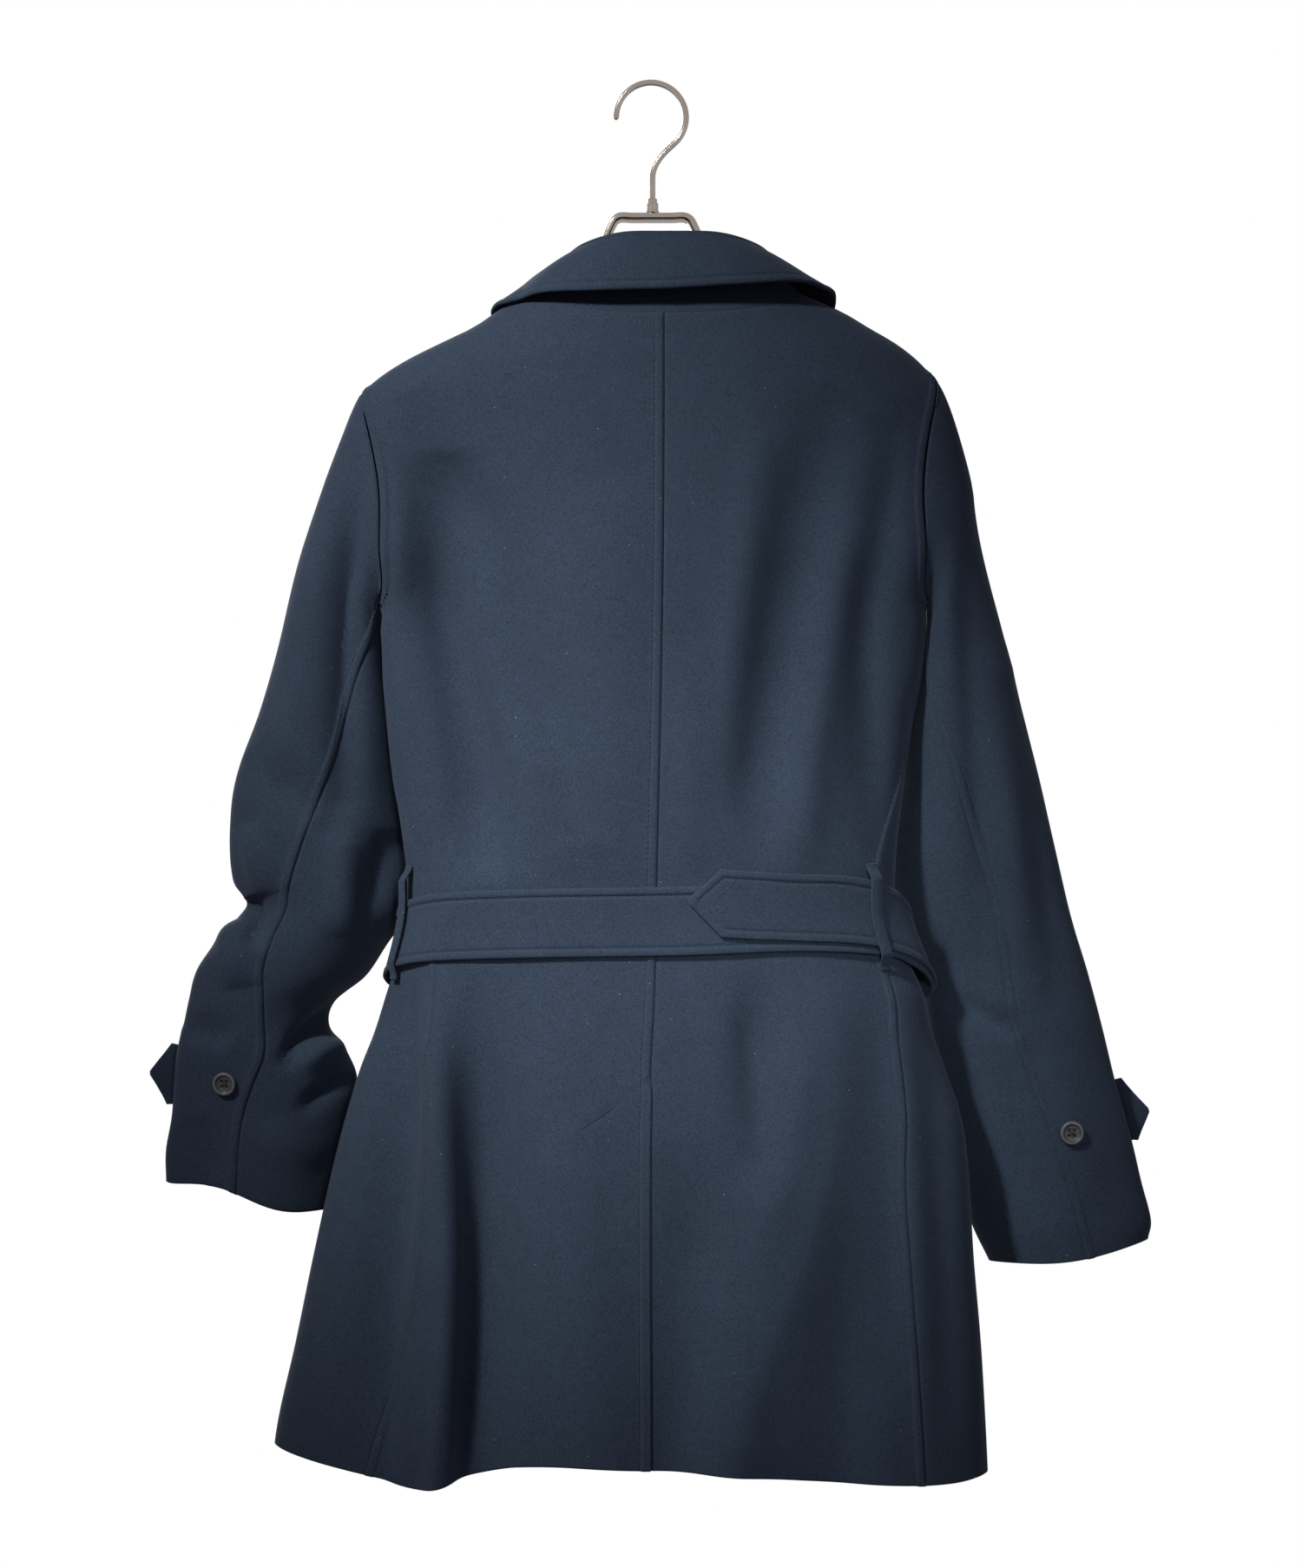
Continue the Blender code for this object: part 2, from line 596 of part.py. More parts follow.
def sleeve_normal(side, turn, share):
    """The outward direction. At the armhole it is the body's, but for the underarm, where they part."""
    turn_step, step = 1.0, 0.004
    across = sleeve(side, turn + turn_step, share) - sleeve(side, turn - turn_step, share)
    after, before = np.clip(share + step, 0, 1), np.clip(share - step, 0, 1)
    down = sleeve(side, turn, after) - sleeve(side, turn, before)
    normal = unit(np.cross(across, down)) * (-1 if side == "left" else 1)
    _, at_armhole = armhole_loop(side, turn)
    beside = np.abs((turn + 180) % 360 - 180)
    near = (1 - ramp(share, 0.0, 0.05))[..., None]
    hold = near * (1 - ramp(beside, 105, 160))[..., None]
    normal = unit(at_armhole * hold + normal * (1 - hold))
    outward = np.array([-1.0 if side == "left" else 1.0, 0, 0])
    excess = np.maximum(np.sum((normal - at_armhole) * outward, axis=-1, keepdims=True), 0)
    return unit(normal - outward * excess * near)


def sleeve_piece(side, top):
    rows = SLEEVE_LEFT if side == "left" else SLEEVE_RIGHT
    share = np.linspace(0, 1, SLEEVE_ROWS)[:, None]
    place = share * (len(rows) - 1)
    knots = np.arange(len(rows))
    back = smooth(place, knots, column(rows, SLEEVE_COLUMNS, "back_seam"))
    front = smooth(place, knots, column(rows, SLEEVE_COLUMNS, "front_seam"))
    if top:
        start, end, columns = -front, back, 15
    else:
        start, end, columns = back, 360 - front, 9
    turn = start + (end - start) * np.linspace(0, 1, columns)[None, :]
    share = np.broadcast_to(share, turn.shape)
    name = f"sleeve_{side}_" + ("top" if top else "under")
    add_cloth(name, sleeve(side, turn, share), sleeve_normal(side, turn, share))


def collar_value(name, angle):
    value = read(COLLAR_SECTIONS, COLLAR_COLUMNS, name, np.abs(angle))
    if name.endswith("_x"):
        return COLLAR_CENTRE + np.sign(angle) * value
    if name == "edge_drop":
        across = read(COLLAR_SECTIONS, COLLAR_COLUMNS, "edge_x", np.abs(angle))
        return value - COLLAR_TILT * across * np.sign(angle)
    return value


def collar_loop(part, angle):
    x, y = collar_value(part + "_x", angle), collar_value(part + "_y", angle)
    return np.stack([x, y, -collar_value(part + "_drop", angle)], axis=-1)


def collar_out(angle):
    """The level direction that leads away from the neck."""
    along = collar_loop("fold", angle + 1) - collar_loop("fold", angle - 1)
    out = np.stack([along[..., 1], -along[..., 0], 0 * along[..., 0]], axis=-1)
    return unit(out)


def collar_profile(angle, share):
    """Over the roll at the top, then out to the edge in a soft crown, and clear of the body below it."""
    fold = collar_loop("fold", angle)
    edge = collar_loop("edge", angle)
    out = collar_out(angle)
    up = np.array([0.0, 0.0, 1.0])
    middle = fold - up * COLLAR_ROLL
    turn = np.radians(180 - (180 - COLLAR_LEAVE) * np.clip(share / COLLAR_ROLL_SHARE, 0, 1))[..., None]
    roll = middle + (out * np.cos(turn) + up * np.sin(turn)) * COLLAR_ROLL
    leave = math.radians(COLLAR_LEAVE)
    start = middle + (out * math.cos(leave) + up * math.sin(leave)) * COLLAR_ROLL
    chord = edge - start
    crown = unit(out * -chord[..., 2:] + up * np.sum(chord * out, axis=-1, keepdims=True))
    place, half_width, flat = COLLAR_SIDE
    swell = COLLAR_CROWN * (1 - flat * np.exp(-(((angle - place) / half_width) ** 2)))
    bend = (start + edge) / 2 + crown * swell[..., None]
    t = np.clip((share - COLLAR_ROLL_SHARE) / (1 - COLLAR_ROLL_SHARE), 0, 1)[..., None]
    fall = start * (1 - t) ** 2 + bend * 2 * t * (1 - t) + edge * t**2
    return clear_of_body(np.where(share[..., None] < COLLAR_ROLL_SHARE, roll, fall))


def clear_of_body(points):
    """Points that lie nearer the body than the collar's cloth are moved out, level, from its middle."""
    drop = -points[..., 2]
    centre = read(CENTRE_LINE, CENTRE_COLUMNS, "centre", drop)
    x, y = points[..., 0] - centre, points[..., 1]
    left = read(BODY_SECTIONS, BODY_COLUMNS, "left", drop)
    right = read(BODY_SECTIONS, BODY_COLUMNS, "right", drop)
    back = read(BODY_SECTIONS, BODY_COLUMNS, "back", drop)
    front = read(BODY_SECTIONS, BODY_COLUMNS, "front", drop)
    across = np.abs(x) / np.where(x < 0, centre - left, right - centre)
    deep = np.abs(y) / np.where(y < 0, back, front)
    power = 2 / SQUARENESS
    share = (across**power + deep**power) ** (1 / power)
    grow = np.where(drop > COLLAR_CLEAR_DROP, np.maximum(COLLAR_CLEAR / share, 1), 1)
    return np.stack([centre + x * grow, y * grow, -drop], axis=-1)


def collar_fall(columns=29, rows=9):
    angle = np.linspace(-COLLAR_END, COLLAR_END, columns)[None, :]
    roll = np.linspace(0, COLLAR_ROLL_SHARE, 5)[:-1]
    share = np.concatenate([roll, np.linspace(COLLAR_ROLL_SHARE, 1, rows - 4)])[:, None]
    angle, share = np.broadcast_arrays(angle, share)
    after, before = np.clip(share + 0.01, 0, 1), np.clip(share - 0.01, 0, 1)
    across = collar_profile(angle + 1, share) - collar_profile(angle - 1, share)
    down = collar_profile(angle, after) - collar_profile(angle, before)
    normal = unit(np.cross(down, across))
    add_cloth("collar_fall", collar_profile(angle, share), normal, COLLAR_CLOTH)


def collar_stand(columns=29, rows=3):
    """From the neck seam up to the inner start of the roll."""
    angle = np.linspace(-COLLAR_END, COLLAR_END, columns)[None, :]
    foot_drop = panel_drop(angle, np.full(angle.shape, NECK_BACK_DROP))
    rise = STAND_RISE[0] + STAND_RISE[1] * ramp(np.abs(angle), 60, 90)
    foot = body(angle, foot_drop) + np.array([0, 0, 1.0]) * rise[..., None]
    out = collar_out(angle)
    top = collar_loop("fold", angle) - out * (COLLAR_ROLL - COLLAR_CLOTH)
    top = top - np.array([0, 0, COLLAR_ROLL + STAND_GAP])
    share = np.linspace(0, 1, rows)[:, None, None]
    points = foot * (1 - share) + top * share
    normal = np.broadcast_to(out, points.shape)
    add_cloth("collar_stand", points, normal, COLLAR_CLOTH)


def belt_strip(name, table, angle, across, extra):
    """A strip as wide as the belt: its middle's drop is the table's, and it lies `extra` over the belt."""
    drop = read(table, BELT_COLUMNS, "drop", angle) + across * BELT_WIDTH / 2
    angle = np.broadcast_to(angle, drop.shape)
    height = read(BELT_LINE, BELT_COLUMNS, "stand_off", angle) + BELT_CLOTH + extra
    add_cloth(name, on_body(angle, drop, height), body_normal(angle, drop), BELT_CLOTH)


def belt_angles():
    return np.linspace(-BELT_END_ANGLE, BELT_END_ANGLE, BELT_STEPS + 1)


def belt():
    across = np.linspace(-1, 1, 3)[:, None]
    belt_strip("belt", BELT_LINE, belt_angles()[None, :], across, 0.0)


def belt_end():
    """The free end: from the buckle round the right side, over the belt, to its point."""
    across = np.linspace(-1, 1, 3)[:, None]
    tip = BELT_END_LINE[0][0] + BELT_POINT * np.abs(across)
    rest = belt_angles()[belt_angles() > BELT_END_LINE[0][0] + BELT_POINT + 2]
    angle = np.concatenate([tip, np.broadcast_to(rest, (3, len(rest)))], axis=1)
    extra = read(BELT_END_LINE, BELT_COLUMNS, "stand_off", angle) + BELT_CLOTH
    belt_strip("belt_end", BELT_END_LINE, angle, across, extra)


def belt_loop(side, rows=11, columns=2):
    angle, top, foot, width, height = LOOP_LEFT if side == "left" else LOOP_RIGHT
    run = np.linspace(0, 1, rows)[:, None]
    across = np.linspace(-0.5, 0.5, columns)[None, :] * width
    drop = top + (foot - top) * run + 0 * across
    lift = LOOP_CLOTH + LOOP_REST + height * ramp(run, 0.01, 0.14) * (1 - ramp(run, 0.86, 0.99)) + 0 * across
    middle = on_body(angle + 0 * drop, drop, lift)
    along = unit(body(angle + 1 + 0 * drop, drop) - body(angle - 1 + 0 * drop, drop))
    points = middle + along * across[..., None]
    normal = body_normal(angle + 0 * drop, drop)
    add_cloth("belt_loop_" + side, points, normal, LOOP_CLOTH)


def cuff_tab(side, columns=10, rows=4):
    """A strap over the front of the cuff, from the front seam past the outer edge to its point."""
    start, end = CUFF_TAB_ROWS[side]
    sign = -1.0 if side == "left" else 1.0
    share = np.linspace(start, end, rows)[:, None]
    run = np.linspace(0, 1, columns)[None, :]
    turn, share = np.broadcast_arrays(TAB_TURNS[0] + (TAB_TURNS[1] - TAB_TURNS[0]) * run, share)
    normal = sleeve_normal(side, turn, share)
    points = sleeve(side, turn, share) + normal * (TAB_CLOTH + TAB_REST)
    last = points[:, -1:]
    point = 1 - np.abs(np.linspace(-1, 1, rows))[:, None]
    out = np.array([sign, 0.0, 0.0]) * (TAB_FREE + CUFF_TAB_OUT * point[..., None])
    out = out + np.array([0.0, TAB_FREE, 0.0])
    points = np.concatenate([points, last + out * 0.5, last + out], axis=1)
    straight = np.broadcast_to(unit(np.array([sign * 0.3, 1.0, 0.0])), normal[:, -1:].shape)
    normal = np.concatenate([normal, straight, straight], axis=1)
    add_cloth("cuff_tab_" + side, points, normal, TAB_CLOTH)


def add_button(name, centre, normal, radius, thickness):
    """A turned button: a disc with a raised rim, along its normal."""
    sides = BUTTON_SIDES
    aim = unit(np.asarray(normal, float))
    side_way = unit(np.cross(aim, [0, 0, 1.0]))
    up_way = np.cross(side_way, aim)
    points = [centre + aim * thickness * BUTTON_PROFILE[0][1]]
    for share, height in BUTTON_PROFILE[1:-1]:
        for k in range(sides):
            turn = 2 * math.pi * k / sides
            ring = side_way * math.cos(turn) + up_way * math.sin(turn)
            points.append(centre + ring * radius * share + aim * thickness * height)
    points.append(np.asarray(centre, float))
    faces = []
    last = len(points) - 1
    rings = len(BUTTON_PROFILE) - 2
    for k in range(sides):
        n = (k + 1) % sides
        faces.append((0, 1 + n, 1 + k))
        for r in range(rings - 1):
            a, b = 1 + r * sides + k, 1 + r * sides + n
            faces.append((a, b, b + sides, a + sides))
        a, b = 1 + (rings - 1) * sides + k, 1 + (rings - 1) * sides + n
        faces.append((a, b, last))
    return add_mesh(name, points, faces, BUTTON_COLOUR, 0.35)


def cuff_button(side):
    """On the back of the cuff, at its place in the photo's view."""
    x, drop = CUFF_BUTTONS[side]
    share = np.linspace(0.6, 1, 161)[:, None]
    turn = np.linspace(20, 160, 141)[None, :]
    turn, share = np.broadcast_arrays(turn, share)
    points = sleeve(side, turn, share)
    apart = (points[..., 0] - x) ** 2 + (points[..., 2] + drop) ** 2
    i, j = np.unravel_index(np.argmin(apart), apart.shape)
    normal = sleeve_normal(side, turn[i : i + 1, j : j + 1], share[i : i + 1, j : j + 1])[0, 0]
    centre = points[i, j] + normal * BUTTON_REST[side]
    add_button("cuff_button_" + side, centre, normal, BUTTON_RADIUS, BUTTON_THICKNESS)


def front_buttons():
    for number, (x, drop) in enumerate(FRONT_BUTTONS, 1):
        angle = angle_at(np.array(x, float), np.array(drop, float), -1)
        normal = body_normal(angle, drop)
        ground = body(angle, drop) + normal * (CLOTH + LAP_GAP + FRONT_BUTTON_REST)
        add_button(f"front_button_{number}", ground, normal, FRONT_BUTTON_RADIUS, FRONT_BUTTON_THICKNESS)


def belt_buckle():
    """A plain frame on the front of the belt."""
    width, height = BUCKLE_SIZE
    drop = float(read(BELT_LINE, BELT_COLUMNS, "drop", 180.0))
    ground = body(180.0, drop)
    on_belt = BELT_LINE[-1][2] + BELT_END_LINE[-1][2] + 2 * BELT_CLOTH
    y = ground[1] + on_belt + BUCKLE_REST + BUCKLE_BAR / 2
    curve = bpy.data.curves.new("belt_buckle", "CURVE")
    curve.dimensions = "3D"
    curve.bevel_depth = BUCKLE_BAR / 2 * MM
    curve.bevel_resolution = 2
    spline = curve.splines.new("POLY")
    corners = []
    radius = BUCKLE_CORNER
    for cx, cz, begin in ((1, 1, 0), (-1, 1, 90), (-1, -1, 180), (1, -1, 270)):
        for step in range(4):
            turn = math.radians(begin + 30 * step)
            corners.append(
                (
                    ground[0] + cx * (width / 2 - radius) + radius * math.cos(turn),
                    y,
                    -drop + cz * (height / 2 - radius) + radius * math.sin(turn),
                )
            )
    spline.points.add(len(corners) - 1)
    for point, corner in zip(spline.points, corners):
        point.co = (*(np.array(corner) * MM), 1)
    spline.use_cyclic_u = True
    add_object("belt_buckle", curve, BUTTON_COLOUR, 0.4)


def hook_path():
    """The hook's middle line: an arc over the rail, a bend back to the centre, and the stem."""
    across, drop = HOOK_CENTRE
    turn = np.radians(np.linspace(*HOOK_TURNS, 16))
    arc = np.stack([across + HOOK_RADIUS * np.cos(turn), HOOK_RADIUS * np.sin(turn) - drop], axis=-1)
    start = arc[-1]
    lead = start + np.array([math.sin(turn[-1]), -math.cos(turn[-1])]) * HOOK_PULLS[0]
    end = np.array([HOOK_FOOT[0], -HOOK_FOOT[1]])
    arrive = end + np.array([0.0, HOOK_PULLS[1]])
    t = np.linspace(0, 1, 8)[1:, None]
    bend = start * (1 - t) ** 3 + lead * 3 * t * (1 - t) ** 2 + arrive * 3 * t * t * (1 - t) + end * t**3
    stem = np.array([[HOOK_FOOT[0], -FERRULE[1] - STEM_DEPTH]])
    path = np.concatenate([arc, bend, stem])
    return np.stack([path[:, 0], 0 * path[:, 0], path[:, 1]], axis=-1)


def hanger_hook():
    curve = bpy.data.curves.new("hanger_hook", "CURVE")
    curve.dimensions = "3D"
    curve.bevel_depth = HOOK_WIRE / 2 * MM
    curve.bevel_resolution = 2
    curve.use_fill_caps = True
    spline = curve.splines.new("POLY")
    path = hook_path()
    spline.points.add(len(path) - 1)
    for point, place in zip(spline.points, path):
        point.co = (*(place * MM), 1)
    add_object("hanger_hook", curve, METAL_COLOUR, 0.2, 1.0)


def hanger_ferrule():
    """A turned sleeve round the foot of the hook's stem."""
    width, top, foot = FERRULE
    sides = 12
    bore = HOOK_WIRE / 2 + FERRULE_PLAY
    points = []
    for radius, drop in ((bore, top), (width / 2, top), (width / 2, foot), (bore, foot)):
        for k in range(sides):
            turn = 2 * math.pi * k / sides
            points.append((HOOK_FOOT[0] + radius * math.cos(turn), radius * math.sin(turn), -drop))
    faces = []
    for r in range(4):
        for k in range(sides):
            n = (k + 1) % sides
            s = (r + 1) % 4
            faces.append((r * sides + k, r * sides + n, s * sides + n, s * sides + k))
    add_mesh("hanger_ferrule", points, faces, METAL_COLOUR, 0.2, 1.0)


def shoulder_inside(x):
    """The drop of the hanger's middle line under the shoulder seam at x."""
    drop = np.linspace(NECK_SIDE_DROP, 232, 200)
    side = "left" if x < 0 else "right"
    edge = read(BODY_SECTIONS, BODY_COLUMNS, side, drop)
    return float(np.interp(abs(x), np.abs(edge), drop))


def frame_path():
    """Level at the top, down inside the collar, and out under both shoulders."""
    points = []
    inward = CLOTH + SHOULDER_REST + FRAME_HALF_HEIGHT
    for side in (-1, 1):
        arm = [(side * x + FRAME_CENTRE, drop) for x, drop in FRAME_ARM]
        for x in FRAME_SHOULDER:
            ridge = shoulder_inside(side * x)
            tilt = math.atan((shoulder_inside(side * (x + 4)) - shoulder_inside(side * (x - 4))) / 8)
            arm.append((side * (x - inward * math.sin(tilt)), ridge + inward * math.cos(tilt)))
        points = (arm[::-1] + points) if side < 0 else (points + arm)
    return np.array(points)


def hanger_frame(sides=8):
    path = frame_path()
    along = np.gradient(path, axis=0)
    along = along / np.linalg.norm(along, axis=1, keepdims=True)
    points = []
    for (x, drop), (dx, dd) in zip(path, along):
        for k in range(sides):
            turn = 2 * math.pi * k / sides
            out = FRAME_HALF_HEIGHT * math.cos(turn)
            points.append((x + dd * out, FRAME_HALF_DEPTH * math.sin(turn), -(drop - dx * out)))
    faces = [tuple(range(sides)), tuple(range(len(points) - sides, len(points)))[::-1]]
    for r in range(len(path) - 1):
        for k in range(sides):
            n = (k + 1) % sides
            faces.append((r * sides + k, (r + 1) * sides + k, (r + 1) * sides + n, r * sides + n))
    add_mesh("hanger_frame", points, faces, METAL_COLOUR, 0.3, 1.0)


def main():
    for obj in list(bpy.data.objects):
        bpy.data.objects.remove(obj)
    collection = bpy.data.collections.new("trench_coat")
    bpy.context.scene.collection.children.link(collection)
    for side in ("left", "right"):
        back_panel(side)
        front_panel(side)
        sleeve_piece(side, True)
        sleeve_piece(side, False)
        belt_loop(side)
        cuff_tab(side)
        cuff_button(side)
    vent_underlap()
    collar_fall()
    collar_stand()
    belt()
    belt_end()
    belt_buckle()
    front_buttons()
    hanger_hook()
    hanger_ferrule()
    hanger_frame()


main()
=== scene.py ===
"""The looks of a short belted coat of dark wool, hung on a hanger.

Run it as a script in Blender 4.5. Lengths in the tables are in millimetres, "drop" is the distance below
the inside top of the hanger's hook, and meshes are made in metres. -Y is the coat's back.
"""

import math

import bpy
import numpy as np
from bpy.props import FloatProperty, FloatVectorProperty, PointerProperty
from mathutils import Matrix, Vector


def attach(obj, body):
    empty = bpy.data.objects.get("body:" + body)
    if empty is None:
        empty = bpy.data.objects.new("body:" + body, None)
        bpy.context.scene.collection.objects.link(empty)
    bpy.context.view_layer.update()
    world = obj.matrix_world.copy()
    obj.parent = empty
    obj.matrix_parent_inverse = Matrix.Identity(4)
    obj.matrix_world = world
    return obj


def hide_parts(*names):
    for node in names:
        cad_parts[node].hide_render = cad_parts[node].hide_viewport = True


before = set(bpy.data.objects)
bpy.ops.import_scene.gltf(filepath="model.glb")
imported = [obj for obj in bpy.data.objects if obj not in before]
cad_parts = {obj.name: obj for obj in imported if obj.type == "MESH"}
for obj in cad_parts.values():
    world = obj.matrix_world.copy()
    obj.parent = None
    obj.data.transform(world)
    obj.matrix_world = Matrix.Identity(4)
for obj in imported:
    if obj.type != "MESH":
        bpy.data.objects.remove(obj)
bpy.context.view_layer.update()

bl_info = {
    "name": "Belted wool coat",
    "version": (1, 0, 0),
    "blender": (4, 5, 0),
    "location": "3D View > Sidebar > Coat",
    "description": "Builds a belted wool coat on its hanger, piece by piece",
    "category": "Object",
}

MM = 0.001
CLOTH = 2.5  # thickness of the coat's cloth
COLLAR_CLOTH = 2.6
BELT_CLOTH = 2.4
ARMHOLE_GAP = 1.2
SQUARENESS = 0.87  # exponent of the section's sine and cosine: 1 is an ellipse, less is squarer

NECK_BACK_DROP = 177.0
NECK_SIDE_DROP = 157.0
NECK_FRONT_DROP = 232.0
NECK_RISE = (4.0, 80.0)  # turns from the centre back between which the neckline rises
NECK_FADE = 420.0  # drop at which the rows of a panel no longer follow its neckline
SIDE_FADE = 214.0  # the same for its rise to the shoulder
HEM_FADE = 850.0  # drop from which they follow the hem
HEM_DROP = 1031.0
LAP = 74.0  # how far each front passes the centre
LAP_GAP = 0.8  # between two panels that lie on each other
VENT_DROP = 743.0
VENT_LAP = 52.0
VENT_GAP = 1.2  # between the two laps of the vent


# The body's sections: its left and right edge, and its depth to the back and to the front.
BODY_COLUMNS = ("drop", "left", "right", "back", "front")
BODY_SECTIONS = (
    (146, -82, 92, 44, 34),
    (157, -96, 112, 50, 40),
    (172, -118, 145.5, 54, 46),
    (183, -134.5, 164, 57, 50),
    (195, -159.5, 184.5, 59, 53),
    (207, -183.5, 200, 61, 55),
    (220, -204, 212, 62, 56),
    (232, -217, 221, 63, 57),
    (260, -231, 230, 64, 58),
    (300, -237, 234, 65, 60),
    (345, -230, 229, 66, 62),
    (391, -204, 207, 66, 63),
    (455, -196, 199, 66, 63),
    (520, -190, 191, 65, 62),
    (587, -184, 184, 62, 60),
    (625, -184, 184, 60, 58),
    (660, -192, 195, 62, 60),
    (683, -200, 205, 64, 62),
    (714, -210, 213, 67, 64),
    (737, -219, 221, 69, 66),
    (778, -231, 234, 72, 68),
    (806, -238, 238, 74, 70),
    (884, -255, 243, 78, 73),
    (943, -267, 248, 80, 75),
    (1012, -282, 252, 82, 77),
    (1056, -286, 254, 83, 78),
)

# The centre back seam's place, and where the side-back seams lie inside the body's edge.
CENTRE_COLUMNS = ("drop", "centre")
CENTRE_LINE = ((146, 10), (260, 10), (391, 9), (586, 5), (683, 3), (743, 0), (1056, -1))
SEAM_COLUMNS = ("drop", "left_angle", "right_angle")
SIDE_SEAMS = (
    (391, 90, 90),
    (450, 88, 88),
    (520, 84, 82),
    (600, 70, 66),
    (683, 54, 60),
    (737, 48, 55),
    (806, 43, 50),
    (884, 41, 50),
    (943, 42, 50),
    (1056, 47, 51),
)

# The hem of the back: its drop at each place across.
HEM_COLUMNS = ("across", "drop")
BACK_HEM = (
    (-284, 1020),
    (-266, 1024),
    (-238, 1030),
    (-205, 1037),
    (-165, 1043),
    (-132, 1034),
    (-99, 1026.5),
    (0, 1028),
    (90, 1034),
    (168, 1041.5),
    (227, 1043.5),
    (252, 1041),
)
FRONT_HEM_DROP = 1031.0

# Soft folds of the cloth: top across and drop, foot across and drop, half width, height outwards.
BACK_FOLDS = (
    (-185, 250, -75, 520, 24, -8),
    (-165, 330, -125, 600, 20, -6),
    (128, 240, 70, 590, 30, -9),
    (168, 290, 148, 590, 18, -5),
    (112, 450, 105, 600, 18, 4),
    (-85, 330, -55, 600, 34, 5),
    (-160, 660, -158, 1060, 15, 11),
    (-118, 680, -125, 1060, 26, -11),
    (-45, 680, -40, 1060, 40, 5),
    (80, 670, 84, 840, 20, -7),
    (125, 665, 48, 1060, 26, 10),
    (150, 720, 140, 1060, 26, -7),
    (30, 800, 20, 1060, 26, -6),
)
FRONT_FOLDS = (
    (-150, 260, -110, 590, 26, -7),
    (140, 270, 105, 590, 26, -7),
    (-150, 670, -165, 1050, 22, 9),
    (-105, 680, -115, 1050, 26, -8),
    (150, 670, 170, 1050, 22, 8),
    (100, 690, 112, 1050, 28, -8),
)

# Armholes: the drop of the top and of the underarm, and how far they cut in, as angles.
ARMHOLES = {"left": (232.0, 391.0), "right": (220.0, 391.0)}
ARMHOLE_BACK_ANGLE = 33.0
ARMHOLE_FRONT_ANGLE = 30.0

# Sleeve sections: the outer edge's and the inner edge's place, depth to each side, shift to the front,
# and the angles at which the back seam and the front seam cross the section.
SLEEVE_COLUMNS = (
    "outer_x",
    "outer_drop",
    "inner_x",
    "inner_drop",
    "depth",
    "shift",
    "back_seam",
    "front_seam",
)
SLEEVE_LEFT = (
    (-217, 232, -204, 391, 38, 0, 157.5, 157.5),
    (-232, 255.5, -204, 401.5, 41, 6, 155, 156),
    (-248, 301.5, -202, 414.5, 44, 13, 146, 150),
    (-266, 356.5, -196, 433.5, 47, 18, 129, 150),
    (-279.5, 412, -191, 457.5, 48, 23, 115, 149),
    (-296.5, 469.5, -186, 494, 48, 26, 104, 148),
    (-315, 520.5, -183, 530.5, 46, 28, 94.5, 147),
    (-320, 563, -181, 565, 44, 30, 83, 146),
    (-318, 597.5, -180, 599.5, 42, 32, 72, 145),
    (-309, 618, -186, 626, 41, 34, 64, 144),
    (-327, 640.5, -201.5, 647.5, 40, 36, 70.5, 143),
    (-345.5, 666, -218, 672, 39, 38, 81, 142),
    (-352.5, 690.5, -241.5, 691.5, 38, 40, 95.5, 142),
    (-358, 713, -246.5, 710, 37, 41, 101.5, 142),
    (-362, 732.5, -234.5, 728.5, 36, 42, 96, 142),
    (-364, 755, -225.5, 749, 34, 43, 85.5, 142),
    (-366, 779.5, -226.5, 775.5, 32, 44, 80, 142),
    (-370.5, 805, -232.5, 808, 31, 45, 81, 142),
    (-370.5, 828.5, -241, 850, 30, 46, 83, 142),
)
SLEEVE_RIGHT = (
    (211, 220, 207, 391, 38, 0, 157.5, 157.5),
    (227.5, 241.5, 208, 402.5, 41, 6, 155, 156),
    (239, 283.5, 206, 415.5, 44, 13, 147, 150),
    (250.5, 338.5, 200, 433.5, 47, 18, 141, 150),
    (265, 399, 193.5, 459.5, 48, 23, 131, 149),
    (279.5, 456.5, 188, 494, 48, 27, 114.5, 148),
    (295.5, 516.5, 185, 532.5, 46, 30, 102, 147),
    (309, 575.5, 181, 578.5, 41, 33, 90, 146),
    (321, 626.5, 187, 624.5, 38, 40, 86, 145),
    (334, 670.5, 204.5, 665.5, 36, 45, 93.5, 144),
    (345, 712.5, 211.5, 706, 36, 46, 95.5, 143),
    (355, 754, 220.5, 747, 35, 46, 91.5, 142),
    (366.5, 795, 229.5, 785.5, 34, 45, 87, 142),
    (374.5, 828.5, 238, 823.5, 32, 46, 83.5, 142),
    (382, 857.5, 245, 859.5, 31, 47, 81.5, 142),
    (380, 872.5, 259.5, 891, 30, 48, 80, 142),
)
SLEEVE_LEAN = 14.0  # how far the inner edge goes to the front, behind the body's side
LEAN_BLEND = 0.04
CUFF_WAVES = {"left": (-6.0, 2.0), "right": (5.0, 1.0)}  # height and half waves across the cuff's hem
CUFF_WAVE_START = 0.88  # share of the sleeve at which they begin
SLEEVE_BLEND = 0.16  # share of the sleeve over which it takes its own section after the armhole

# The collar: the fold at its top and its outer edge, on one side, about its own centre.
COLLAR_CENTRE = 14.0
COLLAR_COLUMNS = ("angle", "fold_x", "fold_drop", "fold_y", "edge_x", "edge_drop", "edge_y")
COLLAR_SECTIONS = (
    (0, 0, 115, -43, 0, 160, -68),
    (30, 35.5, 115.5, -40, 57, 158.5, -64),
    (60, 63, 121.5, -24, 100, 156.5, -46),
    (75, 73, 126.5, -8, 116.5, 159.5, -24),
    (90, 78.5, 131.5, 8, 125, 161, 4),
    (110, 77, 143, 28, 124, 174, 34),
    (135, 62.5, 167, 48, 108, 202, 65),
    (155, 39, 188.5, 59, 86.5, 234, 75),
    (168, 16.5, 200, 64, 62, 267, 76),
)
COLLAR_TILT = 0.045  # the edge stands this much higher, per millimetre, to the right
